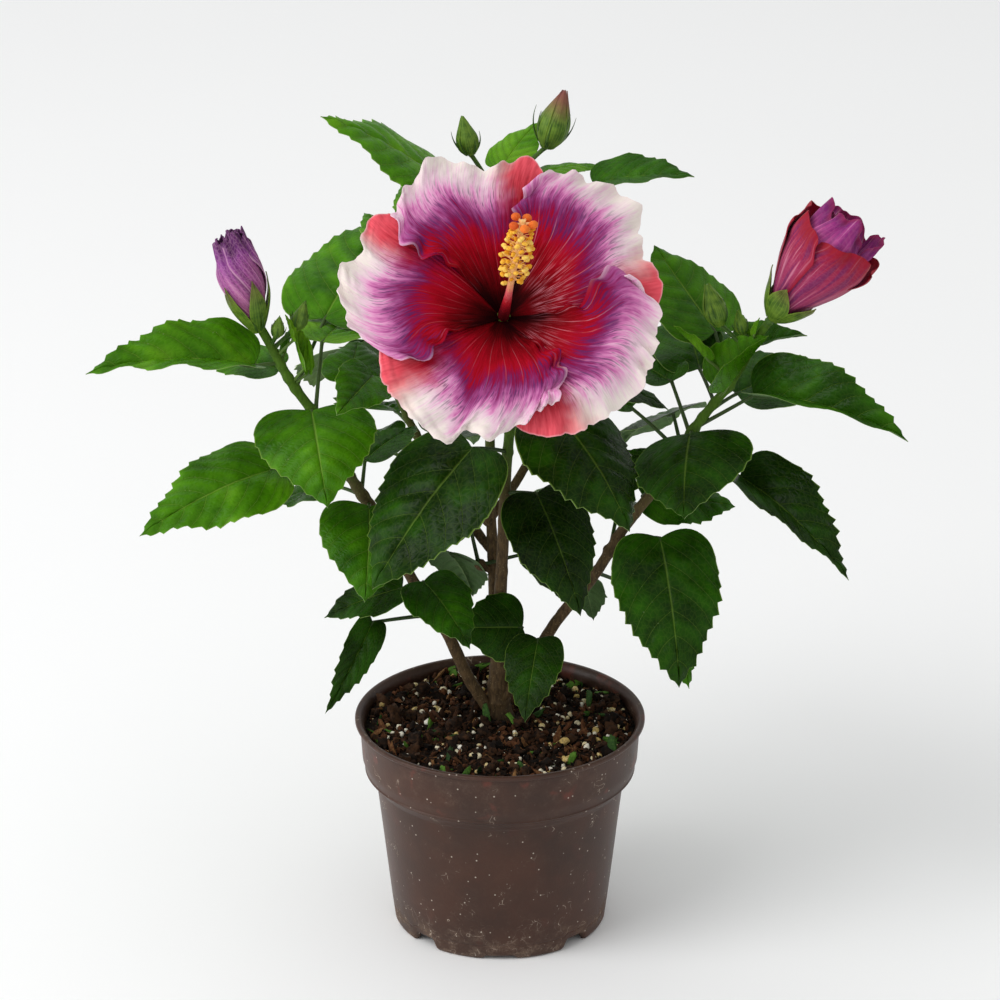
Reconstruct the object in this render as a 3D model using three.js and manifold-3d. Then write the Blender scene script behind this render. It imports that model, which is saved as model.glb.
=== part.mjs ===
// A hibiscus shrub in its round nursery pot: trunk, boughs, masses of leaves, an open bloom and two buds.
// Millimetres and degrees, +Z up. The origin is the middle of the pot's flat underside. The bloom looks
// towards -Y. A heading turns left from +X, seen from above; a rise is measured from level.
import * as THREE from 'three';
import { mergeVertices } from 'three/addons/utils/BufferGeometryUtils.js';
import Module from 'manifold-3d';

// ---- driving dimensions ----------------------------------------------------------------------------

const GAP = 0.3;        // air left between neighbouring pieces
const LIMB_STEP = 14;   // height between the rings of a limb's tube
const ROOT = 5;         // how far a bough starts inside what carries it, before it is cut clear

const POT = {
  height: 114, sides: 36, wall: 2.0,
  rimRadius: 75, lipDrop: 1.6, lipOverhang: 2.3,
  collarRadius: 71.3, collarBottom: 92.4,
  shoulderRadius: 69.4, shoulderHeight: 85.5,
  bodyRadius: 64.2, bodyTop: 79, footRadius: 55.1,
  footRing: 6, footWidth: 3.4, corner: 1.8, floorThickness: 2.4, centreFoot: 15,
  arches: { count: 4, width: 14, height: 5.2, firstHeading: 45 },
  slots: { count: 4, width: 17, height: 1.8, firstHeading: 0 },
  drains: { count: 4, radius: 4.5, circle: 36 },
};

const SOIL = { level: 107.5, margin: 0.5 };

const TRUNK = {
  foot: [-0.5, 10], head: [-0.3, 9.2], top: 152, sides: 10,
  flareRadius: 7.6, flareFade: 4, radius: [5.7, 5.0],
};

// A limb's middle line starts at a point and runs on a heading. It leans from upright by the first angle
// at its foot and by the second at its tip, and sways a little at each of its leaf nodes.
const LIMBS = {
  left: { start: [-8, 8, 117], heading: 192, lean: [26, 30],
    length: 262, sway: 5, nodes: 8, radius: [3.2, 2.2] },
  right: { start: [4, 8, 124], heading: -8, lean: [33, 31],
    length: 262, sway: 5, nodes: 8, radius: [3.2, 2.0] },
  front: { start: [-0.5, 9, 124], heading: -70, lean: [1, 12],
    length: 176, sway: 3, nodes: 5, radius: [3.6, 2.4] },
  rear: { start: [-1.6, 12, 146], heading: 102, lean: [16, -16],
    length: 262, sway: 4, nodes: 8, radius: [3, 1.9] },
  backLeft: { start: [-3.8, 22.4, 196], heading: 135, lean: [54, 36],
    length: 118, sway: 4, nodes: 4, radius: [2.4, 1.8] },
  backRight: { start: [-4.6, 26.1, 214], heading: 48, lean: [56, 38],
    length: 120, sway: 4, nodes: 4, radius: [2.4, 1.8] },
  lowLeft: { start: [-30, 3.4, 164], heading: 200, lean: [60, 40],
    length: 18, sway: 0, nodes: 1, radius: [1.8, 1.4] },
  lowRight: { start: [42.8, 2.5, 184], heading: 60, lean: [70, 60],
    length: 18, sway: 0, nodes: 1, radius: [1.8, 1.4] },
  lowFront: { start: [0, 8, 146], heading: -60, lean: [62, 50],
    length: 16, sway: 0, nodes: 1, radius: [1.8, 1.4] },
  lowRear: { start: [-3.4, 20.2, 186], heading: 190, lean: [60, 50],
    length: 16, sway: 0, nodes: 1, radius: [1.8, 1.4] },
};

const LEAF = { thickness: 1.8, rows: 6, rowSpread: 1.2, stalkRadius: 1.15, sunk: 0.14, nodeStep: 137.5 };

// One leaf: the height of its node, its stalk (heading, rise, length), its blade (heading, rise, length),
// the roll of the blade about its rib, its width over its length, the arch of its rib, and how far its two
// halves fold up from the rib (minus: down).
const leaf = (height, stalk, blade, roll, width, arch, fold) => (
  { height, stalk, blade, roll, width, arch, fold });

// Each mass of leaves has one stem, the stretch of its limb between two heights. The leaves on the show
// side are set as they grew; the seeded rule adds the rest where there is room.
const MASSES = {
  foliage_left_low: {
    limb: 'lowLeft', stem: [165, 173], carrier: 'bough_left',
    leaves: [
      leaf(171, [-155, 54, 21], [178, -24, 44], 28, 0.66, 20, 10),
      leaf(170, [-160, 1, 29], [-130, -46, 54], 50, 0.36, 25, 20),
      leaf(171, [-90, 59, 29], [-50, -32, 46], -10, 0.78, 30, 5),
    ],
  },
  foliage_left: {
    limb: 'left', stem: [222, 338],
    leaves: [
      leaf(314, [205, 6, 14], [-168, 2, 86], 18, 0.52, 35, 34),
      leaf(306, [113, 0, 14], [156, -6, 44], 10, 0.7, 30, 10),
      leaf(288, [-86, 16, 5], [-80, -38, 58], -5, 1.06, 45, -8),
      leaf(270, [-12, 60, 43], [-112, -8, 44], 30, 0.7, 20, 15),
      leaf(262, [75, 54, 40], [88, 10, 38], 0, 0.85, 20, 0),
      leaf(250, [-169, 10, 40], [-150, -16, 79], 24, 0.6, 35, 6),
      leaf(238, [130, -2, 22], [150, -26, 52], 20, 0.55, 20, 10),
      leaf(234, [-88, 18, 13], [-92, -42, 54], 12, 0.92, 35, 0),
      leaf(240, [84, 43, 19], [55, 4, 46], 0, 0.6, 20, 5),
      leaf(285, [83, 70, 37], [60, 5, 34], 0, 0.9, -20, 30),
      leaf(300, [68, 34, 44], [60, 24, 82], 0, 0.78, 20, 5),
    ],
    grown: { from: 226, to: 304, count: 14, heading: 60, faces: [30, 125], seed: 18 },
    buds: [
      { height: 330, stalk: [40, 60, 16], size: 6 },
      { height: 322, stalk: [-60, 55, 14], size: 5 },
    ],
  },
  foliage_right_low: {
    limb: 'lowRight', stem: [185, 191], carrier: 'bough_right',
    leaves: [
      leaf(189, [109, -30, 20], [70, -62, 36], 0, 0.6, 20, 0),
      leaf(189, [40, -30, 28], [38, -38, 44], -35, 0.5, 20, 0),
    ],
  },
  foliage_right: {
    limb: 'right', stem: [200, 334],
    leaves: [
      leaf(213, [-32, 14, 26], [-76, -58, 78], 0, 0.72, 30, -6),
      leaf(274, [-106, 15, 9], [-90, -34, 50], 5, 1.3, 35, -12),
      leaf(260, [-11, -14, 33], [-40, -29, 80], -10, 0.54, 30, 28),
      leaf(248, [114, -38, 31], [16, -14, 52], -35, 0.6, 20, 0),
      leaf(276, [-13, 35, 36], [-20, -9, 84], -22, 0.56, 38, 44),
      leaf(282, [40, 18, 24], [40, 0, 62], -15, 0.75, 20, 0),
      leaf(300, [98, 56, 29], [136, 33, 62], 0, 0.95, 0, 0),
      leaf(290, [105, 20, 27], [100, 14, 58], 0, 0.72, 20, 0),
      leaf(272, [123, 55, 29], [130, 12, 32], 10, 0.95, -20, 20),
      leaf(262, [150, 35, 34], [165, 10, 34], 10, 0.6, 20, 10),
      leaf(298, [120, 50, 22], [140, 20, 32], 10, 0.7, -20, 30),
      leaf(300, [60, 55, 18], [10, 10, 36], -10, 0.8, 30, 30),
      leaf(206, [-20, -30, 26], [-60, -50, 60], 0, 0.6, 25, 0),
      leaf(256, [150, 0, 12], [140, -10, 30], 0, 0.9, 25, 0),
    ],
    grown: { from: 206, to: 300, count: 14, heading: 80, faces: [50, 150], seed: 40 },
    buds: [
      { height: 318, stalk: [150, 50, 18], size: 6 },
      { height: 326, stalk: [-80, 55, 12], size: 5 },
    ],
  },
  foliage_front_low: {
    limb: 'lowFront', stem: [147.5, 153], carrier: 'trunk',
    leaves: [
      leaf(152, [-48, 56, 18], [-165, 4, 38], 48, 1.0, 20, 0),
      leaf(151, [-47, 30, 26], [-102, -45, 46], 0, 0.66, 20, 8),
    ],
  },
  foliage_front: {
    limb: 'front', stem: [232, 296],
    leaves: [
      leaf(262, [-128, 22, 28], [-140, -44, 88], 10, 0.76, 25, 4),
      leaf(275, [-49, 30, 30], [-46, -37, 75], 0, 0.86, 30, -6),
      leaf(238, [-42, 14, 22], [-60, -50, 68], -18, 0.84, 30, -4),
      leaf(276, [-8, 34, 52], [-6, -22, 40], 0, 0.8, 20, 0),
    ],
  },
  foliage_rear_low: {
    limb: 'lowRear', stem: [186.5, 191.5], carrier: 'bough_rear',
    leaves: [
      leaf(190, [180, 25, 17], [60, -55, 42], 0, 0.8, 20, 0),
      leaf(190, [-6, 19, 22], [0, -50, 36], 0, 0.7, 20, 0),
      leaf(191, [140, 72, 19], [170, -40, 30], 0, 0.7, 20, 0),
    ],
  },
  foliage_top: {
    limb: 'rear', stem: [262, 396],
    leaves: [
      leaf(388, [-175, 22, 24], [-162, 33, 80], 22, 0.64, 25, 0),
      leaf(380, [30, 34, 34], [18, 0, 32], 0, 0.6, 20, 0),
      leaf(390, [-5, 12, 50], [-12, 9, 52], -15, 0.58, 25, 20),
      leaf(392, [80, 30, 20], [50, 28, 34], 0, 0.8, 20, 0),
      leaf(388, [90, 20, 16], [55, 5, 34], 0, 0.7, 20, 0),
      leaf(346, [168, 12, 46], [122, 12, 42], 0, 0.7, 20, 0),
      leaf(362, [158, 16, 40], [112, 12, 32], 0, 0.7, 20, 0),
    ],
    grown: { from: 268, to: 384, count: 16, heading: 70, faces: [25, 155], seed: 23 },
    buds: [
      { height: 394, stalk: [205, 60, 29], size: 7 },
      { height: 392, stalk: [8, 47, 38], size: 10.4 },
    ],
  },
  foliage_back_left: {
    limb: 'backLeft', stem: [222, 277],
    leaves: [],
    grown: { from: 226, to: 277, count: 14, heading: 150, faces: [15, 165], seed: 36 },
  },
  foliage_back_right: {
    limb: 'backRight', stem: [238, 291],
    leaves: [],
    grown: { from: 242, to: 291, count: 14, heading: 20, faces: [15, 165], seed: 52 },
  },
};

// The seeded rule's ranges, each from least to most.
const GROWN = {
  stalkRise: [5, 40], stalkLength: [20, 36], bladeRise: [-40, 0], bladeLength: [50, 78],
  width: [0.62, 0.85], turn: [-24, 24], roll: [-18, 18], arch: [15, 40], fold: [-8, 14],
  clearance: 0.9, stalkClearance: 2.6, limbClearance: 4.5,
};

const BLOOM = {
  throat: [1.5, -45, 350], heading: -83, rise: 41, depth: 27, innerRadius: 3,
  petals: [
    { heading: 106, reach: 79 }, { heading: 48, reach: 79 }, { heading: -31, reach: 79 },
    { heading: -107, reach: 76 }, { heading: 177, reach: 82 },
  ],
  spread: [40, 58], lap: 2.6, ruffle: 4.2, ruffles: 2.6, droop: 5, thickness: 1.2, columns: 8, rows: 5,
  calyx: { length: 24, radius: 11 }, stalkRadius: 2.0,
};

const STAMEN = {
  tip: [11.1, -76.4, 412], radius: [2.6, 1.7],
  anthers: 14, brush: [0.5, 0.93], spread: 7.2, antherRadius: 1.9,
  stigmas: 5, stigmaSpread: 6.4, stigmaLift: 7, stigmaRadius: 2.7,
};

const BUDS = {
  bud_left: {
    limb: 'left', from: 338, heading: 180, rise: 74, length: 44, radius: 10.5, calyx: 20, tip: 0.25,
  },
  bud_right: {
    limb: 'right', from: 334, heading: 0, rise: 56, length: 66, radius: 19, calyx: 19, tip: 0.72,
  },
};

// ---- directions and middle lines -------------------------------------------------------------------

const rad = THREE.MathUtils.degToRad;
const mix = THREE.MathUtils.lerp;
const smooth = THREE.MathUtils.smoothstep;
const UP = new THREE.Vector3(0, 0, 1);

function toward(heading, rise) {
  const level = Math.cos(rad(rise));
  const [x, y] = [Math.cos(rad(heading)), Math.sin(rad(heading))];
  return new THREE.Vector3(level * x, level * y, Math.sin(rad(rise)));
}

// A repeatable number from 0 to 1 for each whole number.
function unit(n) {
  const wave = Math.sin(12.9898 * n + 78.233) * 43758.5453;
  return wave - Math.floor(wave);
}

// The limb's middle line as closely spaced points.
function middleLine(limb) {
  const steps = 120;
  const points = [new THREE.Vector3(...limb.start)];
  for (let i = 0; i < steps; i += 1) {
    const along = (i + 0.5) / steps;
    const sway = limb.sway * Math.cos(Math.PI * along * limb.nodes);
    const lean = mix(limb.lean[0], limb.lean[1], along) + sway;
    points.push(points[i].clone().addScaledVector(toward(limb.heading, 90 - lean), limb.length / steps));
  }
  return points;
}

// Where the limb's line, carried on backwards, lies inside what the limb grows from.
function rootOf(limb) {
  const [first, second] = middleLine(limb);
  return first.clone().add(first.clone().sub(second).setLength(ROOT));
}

function pointAt(limb, height) {
  const points = middleLine(limb);
  const next = Math.max(points.findIndex((p) => p.z >= height), 1);
  const [a, b] = [points[next - 1], points[next]];
  return a.clone().lerp(b, (height - a.z) / (b.z - a.z));
}

function radiusAt(limb, height) {
  const points = middleLine(limb);
  const share = (height - points[0].z) / (points.at(-1).z - points[0].z);
  return mix(limb.radius[0], limb.radius[1], THREE.MathUtils.clamp(share, 0, 1));
}

// ---- closed geometry -------------------------------------------------------------------------------

function moved(geometry, place) {
  const position = geometry.attributes.position;
  const point = new THREE.Vector3();
  for (let i = 0; i < position.count; i += 1) {
    point.fromBufferAttribute(position, i);
    place(point);
    position.setXYZ(i, point.x, point.y, point.z);
  }
  return geometry;
}

// A cylinder carried along a row of points, with its own radius at each of them.
function tube(points, radii, sides) {
  const last = points.length - 1;
  const tangents = points.map((p, i) => (
    points[Math.min(i + 1, last)].clone().sub(points[Math.max(i - 1, 0)]).normalize()));
  const seedAxis = new THREE.Vector3(1, 0, 0);
  if (Math.abs(tangents[0].x) >= 0.9) seedAxis.set(0, 1, 0);
  const sidesways = [];
  tangents.forEach((tangent, i) => {
    const from = i === 0 ? seedAxis : sidesways[i - 1];
    sidesways.push(from.clone().addScaledVector(tangent, -from.dot(tangent)).normalize());
  });
  return moved(new THREE.CylinderGeometry(1, 1, 1, sides, last), (p) => {
    const i = Math.round((p.y + 0.5) * last);
    const across = sidesways[i];
    const other = across.clone().cross(tangents[i]);
    const [x, z] = [p.x * radii[i], p.z * radii[i]];
    p.copy(points[i]).addScaledVector(across, x).addScaledVector(other, z);
  });
}

function evenHeights(from, to) {
  const steps = Math.max(3, Math.round((to - from) / LIMB_STEP));
  return Array.from({ length: steps + 1 }, (_, i) => mix(from, to, i / steps));
}

// The stretch of a limb between two heights, each end cut square to the limb.
function limbTube(limb, from, to, sides, grow = 0) {
  const heights = evenHeights(from, to);
  const points = heights.map((height) => pointAt(limb, height));
  return tube(points, heights.map((height) => radiusAt(limb, height) + grow), sides);
}

// ---- joining and cutting ---------------------------------------------------------------------------

const wasm = await Module();
wasm.setup();

function solid(geometry) {
  const bare = geometry.clone();
  bare.deleteAttribute('normal');
  bare.deleteAttribute('uv');
  const merged = mergeVertices(bare, 1e-4);
  return new wasm.Manifold(new wasm.Mesh({
    numProp: 3,
    vertProperties: new Float32Array(merged.attributes.position.array),
    triVerts: new Uint32Array(merged.index.array),
  }));
}

// The largest closed body of a solid, without loose scraps or sealed hollows.
function mainBody(shape) {
  return shape.decompose().reduce((best, piece) => (piece.volume() > best.volume() ? piece : best));
}

function joined(shapes) {
  return shapes.reduce((all, shape) => all.add(shape));
}

function geometryOf(shape) {
  const mesh = shape.getMesh();
  const geometry = new THREE.BufferGeometry();
  geometry.setAttribute('position', new THREE.BufferAttribute(new Float32Array(mesh.vertProperties), 3));
  geometry.setIndex(new THREE.BufferAttribute(new Uint32Array(mesh.triVerts), 1));
  geometry.computeVertexNormals();
  return geometry;
}

// ---- leaves ----------------------------------------------------------------------------------------

function bladeAxes({ blade: [heading, rise], roll }) {
  const along = toward(heading, rise);
  const level = along.clone().cross(UP).normalize();
  const lifted = level.clone().cross(along);
  const [c, s] = [Math.cos(rad(roll)), Math.sin(rad(roll))];
  return {
    along,
    across: level.clone().multiplyScalar(c).addScaledVector(lifted, s),
    normal: lifted.clone().multiplyScalar(c).addScaledVector(level, -s),
  };
}

// Half the blade's width at a share of its length: an egg-shaped outline, broadest a third of the way up.
function halfWidth(share, length, width) {
  const [base, point] = [0.5, 0.95];
  const broadest = base / (base + point);
  const most = broadest ** base * (1 - broadest) ** point;
  return 0.5 * width * length * share ** base * (1 - share) ** point / most;
}

// How far along and how high the arched rib is at a share of its length.
function ribAt(share, length, arch) {
  const turn = rad(arch);
  if (Math.abs(turn) < 1e-6) return [length * share, 0];
  const here = turn * (0.5 - share);
  return [
    length / turn * (Math.sin(turn / 2) - Math.sin(here)),
    length / turn * (Math.cos(here) - Math.cos(turn / 2)),
  ];
}

function stalkEnds(limb, { height, stalk: [heading, rise, length] }) {
  const node = pointAt(limb, height);
  return [node, node.clone().addScaledVector(toward(heading, rise), length)];
}

// A point of the blade: side from -1 to 1 across it, share from 0 to 1 along it, lift above its skin.
function bladePoint(limb, item, side, share, lift) {
  const { along, across, normal } = bladeAxes(item);
  const length = item.blade[2];
  const half = halfWidth(share, length, item.width);
  const [forward, up] = ribAt(share, length, item.arch);
  const lobe = -0.3 * half / item.width * (1 - share) ** 4 * Math.abs(side);
  return stalkEnds(limb, item)[1]
    .addScaledVector(across, side * half * Math.cos(rad(item.fold)))
    .addScaledVector(along, forward + lobe)
    .addScaledVector(normal, up + Math.abs(side) * half * Math.sin(rad(item.fold)) + lift);
}

// A four-sided ball pressed flat: two corners run along the margins, two along the rib above and below.
function bladeSolid(limb, item) {
  return solid(moved(new THREE.SphereGeometry(1, 4, LEAF.rows), (p) => {
    const round = Math.sqrt(Math.max(1 - p.y ** 2, 0));
    const ring = round < 1e-3 ? 0 : 1 / round;
    const share = (Math.acos(THREE.MathUtils.clamp(-p.y, -1, 1)) / Math.PI) ** LEAF.rowSpread;
    p.copy(bladePoint(limb, item, p.x * ring, share, p.z * ring * LEAF.thickness / 2));
  }));
}

function stalkSolid(limb, item) {
  const [node, base] = stalkEnds(limb, item);
  const end = bladePoint(limb, item, 0, LEAF.sunk, 0);
  const r = LEAF.stalkRadius;
  return solid(tube([node, base, end], [1.25 * r, r, 0.8 * r], 3));
}

// Spots along the blade's rib and its stalk, each with the breadth it needs, stand for a leaf when room is
// looked for.
function roomOf(limb, item) {
  const [node, base] = stalkEnds(limb, item);
  const blade = [0.2, 0.5, 0.8].map((share) => ({
    spot: bladePoint(limb, item, 0, share, 0),
    reach: 0.55 * halfWidth(share, item.blade[2], item.width),
  }));
  const stalk = [0.6, 0.85].map((share) => ({
    spot: node.clone().lerp(base, share),
    reach: GROWN.stalkClearance,
  }));
  return [...blade, ...stalk];
}

function fromRange([least, most], n) {
  return mix(least, most, unit(n));
}

// The seeded rule: nodes spaced evenly up the stem, each turned by the same step from the one below.
function grownLeaf(rule, k) {
  const n = rule.seed * 100 + k * 10;
  const heading = rule.heading + k * LEAF.nodeStep;
  return leaf(
    mix(rule.from, rule.to, k / (rule.count - 1)),
    [heading, fromRange(GROWN.stalkRise, n), fromRange(GROWN.stalkLength, n + 1)],
    [
      heading + fromRange(GROWN.turn, n + 2),
      fromRange(GROWN.bladeRise, n + 3),
      fromRange(GROWN.bladeLength, n + 4),
    ],
    fromRange(GROWN.roll, n + 5),
    fromRange(GROWN.width, n + 6),
    fromRange(GROWN.arch, n + 7),
    fromRange(GROWN.fold, n + 8),
  );
}

// Every leaf of every mass. A grown leaf is left out where it would come too near a leaf, a limb or the
// bloom.
function allLeaves() {
  const taken = [];
  const found = {};
  for (const [name, mass] of Object.entries(MASSES)) {
    found[name] = [...mass.leaves];
    mass.leaves.forEach((item) => taken.push(...roomOf(LIMBS[mass.limb], item)));
  }
  const limbSpots = Object.values(LIMBS).flatMap((limb) => middleLine(limb).filter((p, i) => i % 6 === 0));
  const throat = new THREE.Vector3(...BLOOM.throat);
  const axis = toward(BLOOM.heading, BLOOM.rise);
  for (const [name, mass] of Object.entries(MASSES)) {
    if (!mass.grown) continue;
    for (let k = 0; k < mass.grown.count; k += 1) {
      const item = grownLeaf(mass.grown, k);
      const heading = ((item.stalk[0] % 360) + 360) % 360;
      if (heading < mass.grown.faces[0] || heading > mass.grown.faces[1]) continue;
      const room = roomOf(LIMBS[mass.limb], item);
      const free = room.every(({ spot, reach }) => (
        taken.every((other) => spot.distanceTo(other.spot) > GROWN.clearance * (reach + other.reach))
        && limbSpots.every((limbSpot) => spot.distanceTo(limbSpot) > Math.max(reach, GROWN.limbClearance))
        && spot.clone().sub(throat).dot(axis) < -reach));
      if (!free) continue;
      taken.push(...room);
      found[name].push(item);
    }
  }
  return found;
}

// A small green bud on its stalk, in its narrow outer bracts.
function greenBud(limb, { height, stalk: [heading, rise, length], size }) {
  const axis = toward(heading, rise);
  const foot = pointAt(limb, height);
  const end = foot.clone().addScaledVector(axis, length);
  const upright = axis.clone().lerp(UP, 0.6).normalize();
  const profile = [0, 0.12, 0.45, 0.75, 1];
  const points = profile.map((share) => end.clone().addScaledVector(upright, (share * 3.2 - 0.4) * size));
  const radii = [0.35, 0.75, 0.9, 0.55, 0.08].map((r) => r * size);
  return solid(tube([foot, end], [1.3, 1.1], 4)).add(solid(tube(points, radii, 6)));
}

function foliage(mass, leaves) {
  const limb = LIMBS[mass.limb];
  const stem = solid(limbTube(limb, mass.stem[0] + GAP, mass.stem[1], 6));
  const shapes = leaves.flatMap((item) => [bladeSolid(limb, item), stalkSolid(limb, item)]);
  const buds = (mass.buds ?? []).map((bud) => greenBud(limb, bud));
  const whole = joined([stem, ...shapes, ...buds]);
  return mainBody(mass.carrier ? whole.subtract(kept[mass.carrier]) : whole);
}

// ---- trunk and boughs ------------------------------------------------------------------------------

function trunk(grow = 0) {
  const foot = SOIL.level + GAP;
  const heights = [0, 2.5, 6, 14, 28, TRUNK.top - foot];
  const points = heights.map((h) => new THREE.Vector3(
    mix(TRUNK.foot[0], TRUNK.head[0], h / (TRUNK.top - foot)),
    mix(TRUNK.foot[1], TRUNK.head[1], h / (TRUNK.top - foot)),
    foot + h,
  ));
  const radii = heights.map((h) => (
    mix(TRUNK.radius[0], TRUNK.radius[1], h / (TRUNK.top - foot))
    + (TRUNK.flareRadius - TRUNK.radius[0]) * Math.exp(-h / TRUNK.flareFade) + grow));
  return solid(tube(points, radii, TRUNK.sides));
}

// A bough from inside what carries it up to where its leaves begin, cut clear of its carriers.
function bough(limb, to, carriers) {
  const heights = evenHeights(limb.start[2], to);
  const points = [rootOf(limb), ...heights.map((height) => pointAt(limb, height))];
  const radii = [limb.radius[0], ...heights.map((height) => radiusAt(limb, height))];
  const whole = solid(tube(points, radii, 7));
  return mainBody(carriers.reduce((left, carrier) => left.subtract(carrier), whole));
}

// ---- bloom and buds --------------------------------------------------------------------------------

function bloomAxes() {
  const axis = toward(BLOOM.heading, BLOOM.rise);
  const right = UP.clone().cross(axis).normalize();
  return { axis, right, up: axis.clone().cross(right) };
}

// How far a petal stands out along the bloom's axis, at a share of its length and from side to side.
function petalLift(share, side, order) {
  const funnel = BLOOM.depth * (1 - (1 - share) ** 2.6);
  const lap = BLOOM.lap * side * smooth(share, 0.12, 0.5);
  const waves = Math.sin(Math.PI * BLOOM.ruffles * side + 1.7 * order);
  const ruffle = BLOOM.ruffle * smooth(share, 0.5, 1) * waves;
  return funnel + lap + ruffle - BLOOM.droop * smooth(share, 0.7, 1);
}

// A petal is a thin slab bent to the funnel, its outer end rounded off towards its two sides.
function petal({ heading, reach }, order) {
  const { axis, right, up } = bloomAxes();
  const throat = new THREE.Vector3(...BLOOM.throat);
  const box = new THREE.BoxGeometry(2, 1, 1, BLOOM.columns, BLOOM.rows, 1);
  return solid(moved(box, (p) => {
    const [side, share, skin] = [p.x, p.y + 0.5, p.z];
    const rounded = reach * (1 - 0.05 * side ** 2 - 0.17 * side ** 4);
    const radius = mix(BLOOM.innerRadius, rounded, share);
    const half = mix(BLOOM.spread[0], BLOOM.spread[1], smooth(share, 0, 0.45));
    const angle = rad(heading + side * half);
    p.copy(throat)
      .addScaledVector(right, radius * Math.cos(angle))
      .addScaledVector(up, radius * Math.sin(angle))
      .addScaledVector(axis, petalLift(share, side, order) - skin * BLOOM.thickness);
  }));
}

// A five-sided cup of sepals behind the bloom, and the stalk that carries it.
function bloomCup() {
  const { axis } = bloomAxes();
  const throat = new THREE.Vector3(...BLOOM.throat);
  const { length, radius } = BLOOM.calyx;
  const stations = [-1, -0.85, -0.5, -0.1, 0.18];
  const widths = [0.3, 0.62, 0.75, 0.8, 0.5];
  const points = stations.map((s) => throat.clone().addScaledVector(axis, s * length));
  const cup = solid(tube(points, widths.map((w) => w * radius), 10));
  const tip = pointAt(LIMBS.front, MASSES.foliage_front.stem[1] + 2 * GAP);
  const knee = points[0].clone().addScaledVector(axis, -8);
  const stalk = solid(tube([tip, tip.clone().lerp(knee, 0.6).addScaledVector(UP, 2), points[1]],
    [BLOOM.stalkRadius, BLOOM.stalkRadius, BLOOM.stalkRadius], 6));
  return cup.add(stalk);
}

function bloom() {
  return mainBody(joined([...BLOOM.petals.map(petal), bloomCup()]));
}

// The bloom's column of stamens: a curved tube with a brush of anthers and five stigma pads at its tip.
function stamens() {
  const { axis } = bloomAxes();
  const throat = new THREE.Vector3(...BLOOM.throat);
  const curve = new THREE.QuadraticBezierCurve3(
    throat.clone().addScaledVector(axis, 8),
    throat.clone().addScaledVector(axis, 34),
    new THREE.Vector3(...STAMEN.tip),
  );
  const points = curve.getPoints(7);
  const shapes = [solid(tube(points, points.map((p, i) => mix(...STAMEN.radius, i / 7)), 7))];
  const knob = (share, turn, spread, lift, radius) => {
    const tangent = curve.getTangent(share);
    const side = tangent.clone().cross(UP).normalize();
    const other = side.clone().cross(tangent);
    const foot = curve.getPoint(share);
    const end = foot.clone().addScaledVector(side, spread * Math.cos(turn))
      .addScaledVector(other, spread * Math.sin(turn)).addScaledVector(tangent, lift);
    const ball = new THREE.OctahedronGeometry(radius, 0).translate(end.x, end.y, end.z);
    return [solid(tube([foot, end], [0.7, 0.5], 3)), solid(ball)];
  };
  for (let i = 0; i < STAMEN.anthers; i += 1) {
    const share = mix(...STAMEN.brush, i / (STAMEN.anthers - 1));
    const spread = STAMEN.spread * mix(0.75, 1, unit(i));
    shapes.push(...knob(share, rad(i * LEAF.nodeStep), spread, 2, STAMEN.antherRadius));
  }
  for (let i = 0; i < STAMEN.stigmas; i += 1) {
    const turn = rad(i * 360 / STAMEN.stigmas + 20);
    shapes.push(...knob(0.97, turn, STAMEN.stigmaSpread, STAMEN.stigmaLift, STAMEN.stigmaRadius));
  }
  return mainBody(joined(shapes));
}

// A furled bud in its green cup. `tip` is how wide its mouth still is, against its widest part.
function furledBud({ limb, from, heading, rise, length, radius, calyx, tip }) {
  const foot = pointAt(LIMBS[limb], from + GAP + 0.2);
  const axis = toward(heading, rise);
  const at = (along) => foot.clone().addScaledVector(axis, along);
  const neck = 5;
  const stations = [0, 0.12, 0.32, 0.55, 0.78, 0.93, 1];
  const widths = [0.42, 0.72, 0.94, 1, mix(0.7, 1, tip), mix(0.35, 0.95, tip), 0.8 * tip];
  const bodyPoints = stations.map((s) => at(neck + 3 + s * length));
  const body = solid(tube(bodyPoints, widths.map((w) => w * radius), 10));
  const cupWidths = [0.2, 0.5, 0.66, 0.74];
  const cup = solid(tube(cupWidths.map((w, i) => at(neck + calyx * i / 3.2)),
    cupWidths.map((w) => w * Math.min(radius, 13)), 10));
  const stalk = solid(tube([foot, at(neck + 2)], [1.9, 1.9], 6));
  return mainBody(joined([body, cup, stalk]));
}

// ---- pot and soil ----------------------------------------------------------------------------------

// The pot's outer radius at a height on its side wall.
function wallRadius(height) {
  if (height <= POT.bodyTop) return mix(POT.footRadius, POT.bodyRadius, height / POT.bodyTop);
  if (height <= POT.shoulderHeight) {
    const share = (height - POT.bodyTop) / (POT.shoulderHeight - POT.bodyTop);
    return mix(POT.bodyRadius, POT.shoulderRadius, share);
  }
  const share = (height - POT.shoulderHeight) / (POT.collarBottom - POT.shoulderHeight);
  if (share <= 1) return mix(POT.shoulderRadius, POT.collarRadius, share);
  const lip = (height - POT.collarBottom) / (POT.height - POT.collarBottom);
  return mix(POT.collarRadius, POT.rimRadius - POT.lipOverhang, lip);
}

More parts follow.
